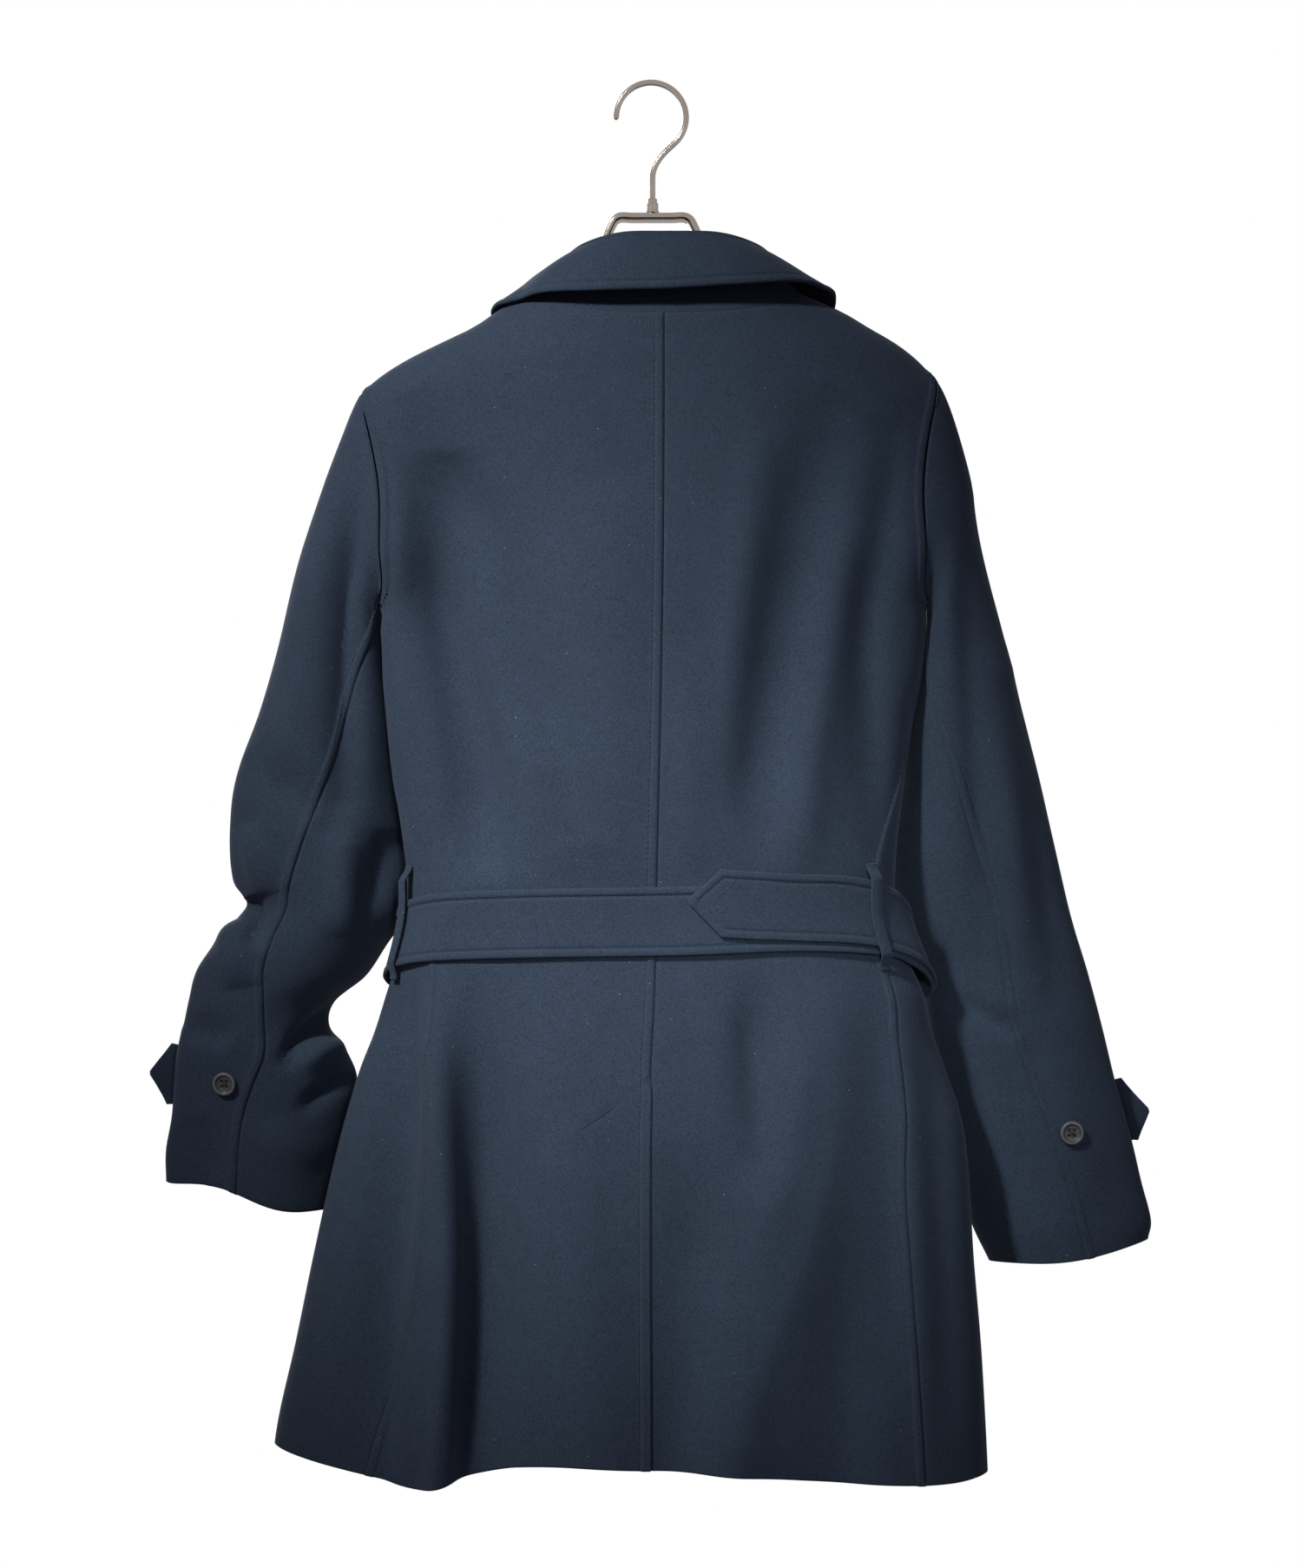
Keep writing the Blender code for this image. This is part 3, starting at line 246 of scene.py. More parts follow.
COLLAR_ROLL = 5.0  # radius over which the collar turns down
COLLAR_LEAVE = 20.0  # degrees before the level at which the roll ends
COLLAR_ROLL_SHARE = 0.3  # share of the rows that the roll takes
COLLAR_CROWN = 8.0  # how far the fall swells above a straight line
COLLAR_SIDE = (84.0, 34.0, 0.75)  # where the crown is flatter: turn from the back, half width and share
COLLAR_CLEAR_DROP = 150.0  # below which the fall is kept clear of the body
COLLAR_CLEAR = 1.085  # the fall's least size against the body's section beneath it
COLLAR_END = 167.0
STAND_GAP = 0.8  # between the stand's top and the roll

# The belt: the drop of its middle and how far it stands off the cloth, round the body.
BELT_WIDTH = 50.0
BELT_END_ANGLE = 176.0  # both ends stop short of the centre front, at the buckle
BELT_COLUMNS = ("angle", "drop", "stand_off")
BELT_LINE = (
    (-180, 668, 4.6),
    (-150, 666, 4.4),
    (-130, 663, 1.4),
    (-104, 654, 3),
    (-90, 646, 4),
    (-76, 638, 2.4),
    (-60, 633, 1.8),
    (-30, 629, 1.6),
    (0, 627, 1.6),
    (30, 624, 1.8),
    (55, 627, 2.0),
    (70, 632, 2.8),
    (84, 646, 6),
    (100, 662, 7),
    (130, 668, 2),
    (150, 666, 4.4),
    (180, 668, 4.6),
)
# The free end's middle, and its height over the belt below it.
BELT_END_LINE = (
    (5, 611, 0.7),
    (14, 614, 0.7),
    (30, 616.5, 0.7),
    (48, 619, 0.7),
    (62, 624, 0.7),
    (76, 633, 1.1),
    (90, 650, 1.2),
    (104, 663, 1.0),
    (130, 669, 0.5),
    (180, 668, 0.5),
)
BELT_POINT = 7.2  # degrees that the point stands out from the end's corners
BUCKLE_SIZE = (46.0, 68.0)
BUCKLE_BAR = 5.0
BUCKLE_CORNER = 9.0
BUCKLE_REST = 2.0  # over the belt at its middle, which leaves less where the belt leans out

# Belt loops: the angle of each, its top and foot, its width, and its height over the belt.
LOOP_LEFT = (-77.0, 587.0, 672.0, 8.0, 6.4)
LOOP_RIGHT = (60.0, 585.0, 664.0, 9.0, 8.2)
LOOP_CLOTH = 2.0
LOOP_REST = 0.7  # between the body's cloth and a loop's ends
LOOP_RISE = (0.01, 0.14)  # shares of its length between which a loop rises over the belt
LOOP_FALL = (0.86, 0.99)  # and between which it comes back

CUFF_BUTTONS = {"left": (-322.0, 752.0), "right": (317.5, 789.0)}
CUFF_TAB_ROWS = {"left": (0.76, 0.868), "right": (0.732, 0.806)}
CUFF_TAB_OUT = 16.0  # from the tab's corners to its point
TAB_TURNS = (-118.0, -12.0)  # round the sleeve: where the tab starts, and where it leaves the sleeve
TAB_FREE = 3.0  # how far it goes on before its corners
TAB_STEPS = 12  # columns of its mesh from there to its point
BUTTON_RADIUS = 9.0
BUTTON_THICKNESS = 3.6
FRONT_BUTTONS = ((-52, 330), (52, 330), (-52, 470), (52, 470), (-52, 745), (52, 745))
FRONT_BUTTON_RADIUS = 13.0
FRONT_BUTTON_THICKNESS = 4.2

# The hanger. Places are across and drop, unless said.
HOOK_WIRE = 4.6
HOOK_RADIUS = 26.3  # of the wire's middle
HOOK_CENTRE = (0.0, 24.0)
HOOK_TURNS = (184.0, -48.0)  # from the tip over the rail to where the bend begins
HOOK_FOOT = (1.0, 70.0)  # where the bend ends and the stem begins
HOOK_PULLS = (9.0, 12.0)  # how far the bend keeps to the arc's and to the stem's direction
HOOK_TIP = 2.2  # length over which the wire's end is rounded
STEM_DEPTH = 4.0  # into the ferrule
FERRULE = (9.0, 85.0, 95.6)  # width, top and foot
FERRULE_GAP = 0.15  # round the wire
FRAME_HALF_DEPTH = 11.0
FRAME_HALF_HEIGHT = 3.6
FRAME_CENTRE = 1.0
FRAME_SQUARENESS = 0.7
FRAME_FIT = 0.96  # size of the polished bar against the solid one
FRAME_ARM = ((25, 99.5), (28.2, 101.3), (31, 106), (38, 122), (55, 145), (76, 162))
FRAME_SHOULDER = (104, 122, 140, 158, 174, 188)
SHOULDER_REST = 1.2  # between the hanger's shoulders and the cloth that hangs on them


def smooth(at, knots, values):
    """A cubic through the knots, whose slope at each is the mean of the chords beside it."""
    knots = np.asarray(knots, float)
    values = np.asarray(values, float)
    chord = np.diff(values) / np.diff(knots)
    slope = np.concatenate([chord[:1], (chord[:-1] + chord[1:]) / 2, chord[-1:]])
    at = np.clip(np.asarray(at, float), knots[0], knots[-1])
    i = np.clip(np.searchsorted(knots, at, side="right") - 1, 0, len(knots) - 2)
    step = knots[i + 1] - knots[i]
    t = (at - knots[i]) / step
    rise = t * t * (3 - 2 * t)
    ease_in = t * (1 - t) ** 2
    ease_out = t * t * (1 - t)
    start = values[i] * (1 - rise) + slope[i] * step * ease_in
    return start + values[i + 1] * rise - slope[i + 1] * step * ease_out


def column(rows, names, name):
    return np.array([row[names.index(name)] for row in rows], float)


def read(rows, names, name, at, key=None):
    """The value of one named column of a table at `at`, measured along its key column."""
    return smooth(at, column(rows, names, key or names[0]), column(rows, names, name))


def ramp(at, start, end):
    """0 before start, 1 after end, and a soft S between them."""
    t = np.clip((np.asarray(at, float) - start) / (end - start), 0, 1)
    return t * t * (3 - 2 * t)


def unit(vectors):
    return vectors / np.maximum(np.linalg.norm(vectors, axis=-1, keepdims=True), 1e-9)


def fold_height(folds, x, drop):
    """The sum of the folds: each is a bell across its line, and fades at its two ends."""
    total = np.zeros(np.broadcast(x, drop).shape)
    for top_x, top_drop, foot_x, foot_drop, half_width, height in folds:
        along = (drop - top_drop) / (foot_drop - top_drop)
        middle = top_x + (foot_x - top_x) * np.clip(along, 0, 1)
        inside = ramp(along, -0.05, 0.3)
        if foot_drop < HEM_DROP:
            inside = inside * (1 - ramp(along, 0.75, 1.0))
        total = total + height * inside * np.exp(-(((x - middle) / half_width) ** 2))
    return total


def body(angle, drop):
    """A point of the body's outer surface. A section is a squared ellipse between its four edges."""
    angle, drop = np.broadcast_arrays(np.asarray(angle, float), np.asarray(drop, float))
    sine = np.sin(np.radians(angle))
    cosine = np.cos(np.radians(angle))
    centre = read(CENTRE_LINE, CENTRE_COLUMNS, "centre", drop)
    left = read(BODY_SECTIONS, BODY_COLUMNS, "left", drop)
    right = read(BODY_SECTIONS, BODY_COLUMNS, "right", drop)
    reach = np.where(sine < 0, centre - left, right - centre)
    x = centre + np.sign(sine) * reach * np.abs(sine) ** SQUARENESS
    back = read(BODY_SECTIONS, BODY_COLUMNS, "back", drop)
    front = read(BODY_SECTIONS, BODY_COLUMNS, "front", drop)
    back = back + fold_height(BACK_FOLDS, x, drop)
    front = front + fold_height(FRONT_FOLDS, x, drop)
    y = np.where(cosine > 0, -back, front) * np.abs(cosine) ** SQUARENESS
    return np.stack([x, y, -drop], axis=-1)


def body_normal(angle, drop):
    """The outward direction of the body's surface, from its slopes over a short step."""
    turn, step = 0.6, 1.0
    across = body(angle + turn, drop) - body(angle - turn, drop)
    down = body(angle, drop + step) - body(angle, drop - step)
    return unit(np.cross(down, across))


def on_body(angle, drop, height):
    """A point that stands off the body's surface by a height."""
    return body(angle, drop) + body_normal(angle, drop) * np.asarray(height)[..., None]


def angle_at(x, drop, side=1):
    """The angle on the back (side 1) or the front (side -1) at which the body's surface is at x."""
    centre = read(CENTRE_LINE, CENTRE_COLUMNS, "centre", drop)
    edge = np.where(
        np.asarray(x) < centre,
        centre - read(BODY_SECTIONS, BODY_COLUMNS, "left", drop),
        read(BODY_SECTIONS, BODY_COLUMNS, "right", drop) - centre,
    )
    share = np.clip((np.asarray(x, float) - centre) / edge, -1, 1)
    angle = np.degrees(np.arcsin(np.sign(share) * np.abs(share) ** (1 / SQUARENESS)))
    return angle if side > 0 else np.where(angle < 0, -180 - angle, 180 - angle)


# The slanting stitches that hold the vent's top, and what only the looks need.
VENT_STITCH = ((-52.6, 779.0), (-38.0, 769.5), (-20.0, 757.0), (-1.5, 743.5))
HOLE_PLACE = 0.2  # of a button's sewing holes, as a share of its radius along both ways
HOLE_SIZE = 0.12
HOLE_DEPTH = 0.5  # share of the button's thickness
BUTTON_THREAD = 0.42  # radius of the thread that crosses a button
THREAD_FOOT = 0.62  # its height at the holes, as a share of the button's thickness
THREAD_RISE = 0.10  # and how much higher it goes between them
THREAD_OVER = 0.25  # between the crossing threads
CUFF_BUTTON_LIFT = 0.6  # between the sleeve and the button's back
FRONT_BUTTON_LIFT = 0.9
# A button's profile from the middle of its face to the edge of its back: shares of radius and thickness.
BUTTON_PROFILE = (
    (0, 0.60),
    (0.5, 0.58),
    (0.66, 0.66),
    (0.76, 0.95),
    (0.86, 1.0),
    (0.95, 0.88),
    (1.0, 0.5),
    (0.97, 0.1),
    (0.92, 0.0),
)
VIEW_CENTRE = (0.0, 525.5)  # what the camera looks at: across and drop
FLOOR_HEIGHT = -1.3
FLOOR_MIDDLE = 0.02  # radius of its innermost ring
FLOOR_RADIUS = 0.94
FLOOR_FADE = (0.35, 0.92)  # distances from its middle between which it fades out
FLOOR_GLOW = 0.62  # seen by the camera only, so that the floor stays pale beside the spots
KEY_PLACE = (-1.50, -1.90, 1.35)
KEY_AIM = (-0.03, 0.0, -0.55)
KEY_CONE = 22.0  # degrees
KEY_NARROW = 0.62  # the cone's width over its height
KEY_RADIUS = 0.2  # of the light itself, which softens the shadows
KEY_COLOUR = (0.95, 1.0, 0.985)
FRONT_PLACE = (0.5, -3.0, -0.1)
FRONT_AIM = (0.09, 0.0, -0.64)
FRONT_CONE = 13.0
COAT_MIDDLE = (0.0, 0.0, -0.55)
FILL_PLACE = (2.2, -2.4, -0.3)
FILL_SIZE = 1.6
FILL_COLOUR = (0.70, 0.85, 1.0)
BACK_PLACE = (-1.1, 2.7, 0.5)
BACK_SIZE = 1.4
AMBIENT_TINT = (1.20, 0.84, 1.22, 1.0)  # of the light from all round
MIRRORED = (0.42, 0.42, 0.42, 1.0)  # what polished pieces reflect of the studio

# The cut of each piece: its flat rectangle, and the area of the cloth in it.
BELT_FLAT = (0.97, 0.05)
BELT_AREA = 0.0475
BELT_END_FLAT = (0.44, 0.05)
BELT_END_AREA = 0.0216
BACKS = ["back_left_wool", "back_right_wool"]

# A belt's or a tab's places across, from its edge in millimetres, and the rows on which its stitches lie.
STRIP_STEPS = (0.0, 0.8, 1.8, 3.0, 4.2, 4.9, 5.6, 6.3, 7.2, 8.6)
STITCHED_ROWS = (6, -7)
LOOP_STITCH = 1.8  # from a loop's edge to its stitching
TAB_WIDTH = 52.0
TAB_CLOTH = 2.6
TAB_LIFT = 3.4  # of the tab's outer side over the sleeve


def armhole_angle(side, drop):
    """How far the armhole cuts into the panel at this drop, as a share of its deepest."""
    top, foot = ARMHOLES[side]
    share = (drop - (top + foot) / 2) / ((foot - top) / 2)
    return np.sqrt(np.clip(1 - share**2, 0, 1))


def edge_angle(side, level, back):
    """The angle of a panel's outer edge: shoulder seam, then armhole, then side-back seam."""
    cut = armhole_angle(side, level)
    depth = ARMHOLE_BACK_ANGLE if back else ARMHOLE_FRONT_ANGLE
    upper = 90 - depth * cut if back else 90 + depth * cut
    seam = read(SIDE_SEAMS, SEAM_COLUMNS, side + "_angle", level)
    return np.where(level <= ARMHOLES[side][1], upper, seam)


def panel_drop(angle, level):
    """The drop of a panel's point: its row's level, bent to the neckline above and the hem below."""
    turn = np.abs((angle + 180) % 360 - 180)
    side_rise = (NECK_SIDE_DROP - NECK_BACK_DROP) * ramp(turn, *NECK_RISE)
    front_fall = (NECK_FRONT_DROP - NECK_SIDE_DROP) * np.where(np.abs(angle) > 180, 1, ramp(turn, 122, 180))
    fade = np.clip((NECK_FADE - level) / (NECK_FADE - NECK_BACK_DROP), 0, 1) ** 1.5
    drop = level + side_rise * (1 - ramp(level, NECK_BACK_DROP, SIDE_FADE)) + front_fall * fade
    back_hem = read(BACK_HEM, HEM_COLUMNS, "drop", body(angle, level)[..., 0])
    hem = back_hem + (FRONT_HEM_DROP - back_hem) * ramp(turn, 90, 120)
    return drop + (hem - HEM_DROP) * ramp(level, HEM_FADE, HEM_DROP)


def armhole_loop(side, turn):
    """The panels' armhole edge. Turn is 0 at the shoulder, 180 at the underarm, minus in front."""
    top, foot = ARMHOLES[side]
    drop = (top + foot) / 2 - (foot - top) / 2 * np.cos(np.radians(turn))
    depth = np.where(np.sin(np.radians(turn)) > 0, ARMHOLE_BACK_ANGLE, ARMHOLE_FRONT_ANGLE)
    angle = 90 - depth * np.sin(np.radians(turn))
    angle = -angle if side == "left" else angle
    return body(angle, drop), body_normal(angle, drop)


def sleeve(side, turn, share):
    """A point of a sleeve: a section is an ellipse between its outer and its inner edge."""
    rows = SLEEVE_LEFT if side == "left" else SLEEVE_RIGHT
    place = share * (len(rows) - 1)
    knots = np.arange(len(rows))
    value = {name: smooth(place, knots, column(rows, SLEEVE_COLUMNS, name)) for name in SLEEVE_COLUMNS}
    cosine, sine = np.cos(np.radians(turn)), np.sin(np.radians(turn))
    x = (value["outer_x"] + value["inner_x"]) / 2 + (value["outer_x"] - value["inner_x"]) / 2 * cosine
    drop = (value["outer_drop"] + value["inner_drop"]) / 2
    drop = drop + (value["outer_drop"] - value["inner_drop"]) / 2 * cosine
    height, waves = CUFF_WAVES[side]
    wave = height * np.sin(waves * math.pi * (1 - cosine) / 2) * np.clip(sine, 0, 1)
    drop = drop + wave * ramp(share, CUFF_WAVE_START, 1)
    middle = value["shift"] + SLEEVE_LEAN * ramp(share, 0, LEAN_BLEND) * np.clip(-cosine, 0, 1) ** 2
    y = middle - value["depth"] * np.sign(sine) * np.abs(sine) ** SQUARENESS
    own = np.stack([x, y, -drop], axis=-1)
    loop, _ = armhole_loop(side, turn)
    loop = loop + np.array([-1.0 if side == "left" else 1.0, 0, 0]) * ARMHOLE_GAP
    blend = ramp(share, 0, SLEEVE_BLEND)[..., None]
    return loop * (1 - blend) + own * blend


def sleeve_normal(side, turn, share):
    """The outward direction. At the armhole it is the body's, but for the underarm, where they part."""
    turn_step, step = 1.0, 0.004
    across = sleeve(side, turn + turn_step, share) - sleeve(side, turn - turn_step, share)
    after, before = np.clip(share + step, 0, 1), np.clip(share - step, 0, 1)
    down = sleeve(side, turn, after) - sleeve(side, turn, before)
    normal = unit(np.cross(across, down)) * (-1 if side == "left" else 1)
    _, at_armhole = armhole_loop(side, turn)
    beside = np.abs((turn + 180) % 360 - 180)
    near = (1 - ramp(share, 0.0, 0.05))[..., None]
    hold = near * (1 - ramp(beside, 105, 160))[..., None]
    normal = unit(at_armhole * hold + normal * (1 - hold))
    outward = np.array([-1.0 if side == "left" else 1.0, 0, 0])
    excess = np.maximum(np.sum((normal - at_armhole) * outward, axis=-1, keepdims=True), 0)
    return unit(normal - outward * excess * near)


def collar_value(name, angle):
    value = read(COLLAR_SECTIONS, COLLAR_COLUMNS, name, np.abs(angle))
    if name.endswith("_x"):
        return COLLAR_CENTRE + np.sign(angle) * value
    if name == "edge_drop":
        across = read(COLLAR_SECTIONS, COLLAR_COLUMNS, "edge_x", np.abs(angle))
        return value - COLLAR_TILT * across * np.sign(angle)
    return value


def collar_loop(part, angle):
    x, y = collar_value(part + "_x", angle), collar_value(part + "_y", angle)
    return np.stack([x, y, -collar_value(part + "_drop", angle)], axis=-1)


def collar_out(angle):
    """The level direction that leads away from the neck."""
    along = collar_loop("fold", angle + 1) - collar_loop("fold", angle - 1)
    out = np.stack([along[..., 1], -along[..., 0], 0 * along[..., 0]], axis=-1)
    return unit(out)


def collar_profile(angle, share):
    """Over the roll at the top, then out to the edge in a soft crown, and clear of the body below it."""
    fold = collar_loop("fold", angle)
    edge = collar_loop("edge", angle)
    out = collar_out(angle)
    up = np.array([0.0, 0.0, 1.0])
    middle = fold - up * COLLAR_ROLL
    turn = np.radians(180 - (180 - COLLAR_LEAVE) * np.clip(share / COLLAR_ROLL_SHARE, 0, 1))[..., None]
    roll = middle + (out * np.cos(turn) + up * np.sin(turn)) * COLLAR_ROLL
    leave = math.radians(COLLAR_LEAVE)
    start = middle + (out * math.cos(leave) + up * math.sin(leave)) * COLLAR_ROLL
    chord = edge - start
    crown = unit(out * -chord[..., 2:] + up * np.sum(chord * out, axis=-1, keepdims=True))
    place, half_width, flat = COLLAR_SIDE
    swell = COLLAR_CROWN * (1 - flat * np.exp(-(((angle - place) / half_width) ** 2)))
    bend = (start + edge) / 2 + crown * swell[..., None]
    t = np.clip((share - COLLAR_ROLL_SHARE) / (1 - COLLAR_ROLL_SHARE), 0, 1)[..., None]
    fall = start * (1 - t) ** 2 + bend * 2 * t * (1 - t) + edge * t**2
    return clear_of_body(np.where(share[..., None] < COLLAR_ROLL_SHARE, roll, fall))


def clear_of_body(points):
    """Points that lie nearer the body than the collar's cloth are moved out, level, from its middle."""
    drop = -points[..., 2]
    centre = read(CENTRE_LINE, CENTRE_COLUMNS, "centre", drop)
    x, y = points[..., 0] - centre, points[..., 1]
    left = read(BODY_SECTIONS, BODY_COLUMNS, "left", drop)
    right = read(BODY_SECTIONS, BODY_COLUMNS, "right", drop)
    back = read(BODY_SECTIONS, BODY_COLUMNS, "back", drop)
    front = read(BODY_SECTIONS, BODY_COLUMNS, "front", drop)
    across = np.abs(x) / np.where(x < 0, centre - left, right - centre)
    deep = np.abs(y) / np.where(y < 0, back, front)
    power = 2 / SQUARENESS
    share = (across**power + deep**power) ** (1 / power)
    grow = np.where(drop > COLLAR_CLEAR_DROP, np.maximum(COLLAR_CLEAR / share, 1), 1)
    return np.stack([centre + x * grow, y * grow, -drop], axis=-1)


# Creases that the cloth shows over the part's own soft folds. Each has a half width to the left and to
# the right of its line, a height outwards, and the line's points (across, drop).
BACK_CREASES = (
    (20, 26, -5.4, ((-184, 236), (-148, 300), (-114, 352), (-94, 404), (-78, 456), (-64, 508), (-54, 570))),
    (26, 26, -8.6, ((-158, 280), (-156, 340), (-154, 404), (-142, 456), (-130, 508), (-124, 600))),
    (16, 15, 2.6, ((-196, 300), (-194, 400), (-188, 500), (-180, 590))),
    (30, 22, -3.4, ((140, 228), (124, 300), (120, 352), (108, 404), (100, 456), (95, 508), (92, 598))),
    (14, 18, 2.0, ((84, 260), (66, 380), (56, 480), (54, 596))),
    (16, 13, -3.0, ((180, 250), (178, 300), (172, 352), (164, 404), (164, 456), (167, 508), (168, 590))),
    (14, 14, 2.2, ((140, 330), (130, 404), (124, 456), (116, 520), (114, 598))),
    (34, 34, 2.4, ((-40, 300), (-30, 400), (-24, 500), (-20, 600))),
    (16, 16, 1.8, ((24, 420), (30, 510), (26, 598))),
    (7, 16, 4.2, ((-168, 660), (-160, 760), (-152, 860), (-154, 980), (-160, 1090))),
    (30, 12, -7.6, ((-182, 650), (-184, 740), (-188, 820), (-194, 900), (-200, 1000), (-204, 1080))),
    (16, 22, -4.6, ((-132, 664), (-123, 780), (-122, 900), (-132, 1090))),
    (30, 24, 2.2, ((-74, 664), (-62, 800), (-44, 940), (-30, 1090))),
    (14, 16, -2.4, ((72, 662), (78, 730), (86, 810))),
    (18, 22, -2.2, ((14, 790), (40, 850), (74, 930), (90, 1010))),
    (16, 34, 3.0, ((138, 668), (138, 776), (122, 850), (92, 940), (54, 1090))),
    (20, 16, -2.2, ((162, 664), (170, 760), (176, 860), (170, 980))),
    (12, 14, 1.8, ((182, 664), (192, 780), (200, 900), (206, 1060))),
    (18, 12, -1.8, ((208, 680), (214, 820), (222, 1010))),
    (12, 14, 2.2, ((203, 340), (203, 405), (200, 470))),
)
FRONT_CREASES = (
    (18, 18, -2.6, ((-180, 240), (-150, 320), (-120, 430), (-104, 590))),
    (18, 18, -2.6, ((176, 240), (146, 330), (122, 440), (110, 590))),
    (12, 16, 2.6, ((-168, 680), (-160, 820), (-176, 1090))),
    (16, 16, -2.6, ((-128, 690), (-124, 860), (-136, 1090))),
    (12, 14, 2.4, ((170, 680), (176, 860), (186, 1090))),
    (16, 16, -2.4, ((128, 700), (136, 860), (132, 1090))),
)
# The sleeves' creases, as seen from the back, and the plainer ones of their front.
SLEEVE_LEFT_CREASES = (
    (16, 12, -5.6, ((-212, 262), (-220, 320), (-226, 400), (-228, 480), (-232, 570))),
    (12, 16, 2.2, ((-226, 262), (-244, 340), (-262, 404), (-268, 456), (-282, 520))),
    (14, 18, -2.4, ((-300, 500), (-276, 530), (-250, 548))),
    (8, 14, 3.0, ((-305, 556), (-296, 590), (-290, 610))),
    (5, 10, -4.6, ((-306, 612), (-300, 624), (-302, 650))),
    (10, 16, 3.4, ((-318, 628), (-318, 650), (-312, 680))),
    (10, 12, -3.0, ((-196, 560), (-208, 600), (-214, 640))),
    (10, 12, 2.4, ((-226, 540), (-232, 600), (-228, 640))),
    (6, 9, -4.2, ((-232, 694), (-252, 706), (-268, 720), (-278, 742))),
    (8, 10, 3.0, ((-232, 726), (-250, 728), (-268, 742))),
    (6, 8, -3.0, ((-218, 740), (-236, 750), (-256, 764), (-266, 778))),
    (10, 12, -2.4, ((-356, 716), (-344, 712), (-330, 714), (-318, 722))),
    (12, 14, -2.0, ((-350, 780), (-340, 800), (-326, 824))),
    (14, 14, 1.8, ((-290, 780), (-270, 800), (-250, 812))),
)
SLEEVE_RIGHT_CREASES = (
    (16, 22, -4.0, ((238, 310), (242, 360), (242, 420), (246, 500), (252, 600), (258, 690))),
    (12, 20, 2.6, ((250, 420), (266, 540), (278, 640), (290, 700))),
    (16, 16, -3.0, ((270, 440), (290, 540), (304, 640), (312, 700))),
    (20, 20, -2.4, ((262, 700), (276, 760), (290, 820), (300, 860))),
    (8, 12, -2.6, ((226, 690), (250, 700), (276, 718))),
    (14, 14, 1.4, ((300, 730), (320, 790), (336, 850))),
)
SLEEVE_FRONT_CREASES = (
    (12, 16, -3.0, ((-300, 560), (-270, 590), (-230, 600), (-196, 580))),
    (12, 14, -2.6, ((-310, 600), (-280, 630), (-230, 650))),
    (12, 14, -2.6, ((206, 560), (240, 590), (290, 590))),
    (12, 14, -2.4, ((216, 620), (250, 645), (310, 640))),
    (14, 16, -2.4, ((-240, 300), (-250, 380), (-256, 440))),
    (14, 16, -2.4, ((230, 300), (240, 380), (250, 440))),
)

WELT_HEIGHT = 1.2  # how much the seam's turned-under cloth lifts the edge beside it
WELT_WIDTH = 7.2  # from the seam to its topstitching
EDGE_STITCH = 5.6  # from a free edge to its topstitching
STITCH_DENT = 1.0
STITCH_PITCH = 3.9
STITCH_LENGTH = 3.0
THREAD = 0.34  # radius of a stitch
CREASE_DEPTH = 2.3  # what the tables' heights are multiplied by
EDGE_STEPS = (0.0, 0.6, 1.4, 2.6, 4.0, 5.0, 5.8, 6.6, 7.4, 8.4, 10.0, 12.5)
WELT_COLUMN = EDGE_STEPS.index(7.4)  # the column on which a lapped seam's topstitching lies
EDGE_COLUMN = EDGE_STEPS.index(5.8)  # the same beside a free edge
PINCH = 1.8  # from a seam, over which the cloth rounds into it
STITCH_GROOVE = 0.9  # half width of the dent under a row of stitches

# How finely the panels and sleeves are divided.
SHOULDER_ROWS = 19
ARMHOLE_ROWS = 57
BELOW_ROWS = 187
HEM_STEPS = (2.5, 5.0, 7.0, 8.6, 10.0)  # closer rows at the hem
BACK_SPREAD = 60
FRONT_SPREAD = 74
SLEEVE_SPREAD = {"top": 44, "under": 26}
SLEEVE_SHARES = np.concatenate([np.linspace(0, 0.985, 226), [0.99, 0.994, 0.997, 1.0]])

# Where the creases are calmer: pressed under the belt, and near the neck and the armholes.
BELT_PRESSED = 0.8
BELT_PRESSED_REACH = 38.0
NECK_CALM_DROP = 225.0
ARMHOLE_CALM_ANGLE = 34.0
SLEEVE_CALM = (0.03, 0.14)  # shares of the sleeve
VENT_OPENS = (6.0, 14.0)  # above and below the vent's top
VENT_DENT = (1.0, 3.4, 2.2)  # the slanting stitches' half width, and the swell's place and width
LAP_SLOPE = (14.0, 3.0)  # over these degrees before the lapped edge the upper front rises
TUCK = 5.0  # how far the stand's foot runs on inside the neck
FOOT_RISE = 0.3  # of the stand's visible foot over the neck seam


def line_through(points, count=26):
    """Evenly spread points on a cubic through the given ones, by the length of the chords."""
    points = np.asarray(points, float)
    run = np.concatenate([[0], np.cumsum(np.linalg.norm(np.diff(points, axis=0), axis=1))])
    at = np.linspace(0, run[-1], count)
    return np.stack([smooth(at, run, points[:, k]) for k in range(points.shape[1])], axis=-1)


def nearest_on(points, line):
    """Each point's distance to a line of chords, its place along it, and its side in the first two axes."""
    flat = points.reshape(-1, points.shape[-1])
    best = np.full(len(flat), np.inf)
    along = np.zeros(len(flat))
    side = np.zeros(len(flat))
    for i in range(len(line) - 1):
        chord = line[i + 1] - line[i]
        rel = flat - line[i]
        t = np.clip(rel @ chord / max(chord @ chord, 1e-9), 0, 1)
        apart = np.linalg.norm(rel - t[:, None] * chord, axis=1)
        closer = apart < best
        best = np.where(closer, apart, best)
        along = np.where(closer, (i + t) / (len(line) - 1), along)
        side = np.where(closer, chord[0] * rel[:, 1] - chord[1] * rel[:, 0], side)
    shape = points.shape[:-1]
    return best.reshape(shape), along.reshape(shape), side.reshape(shape)


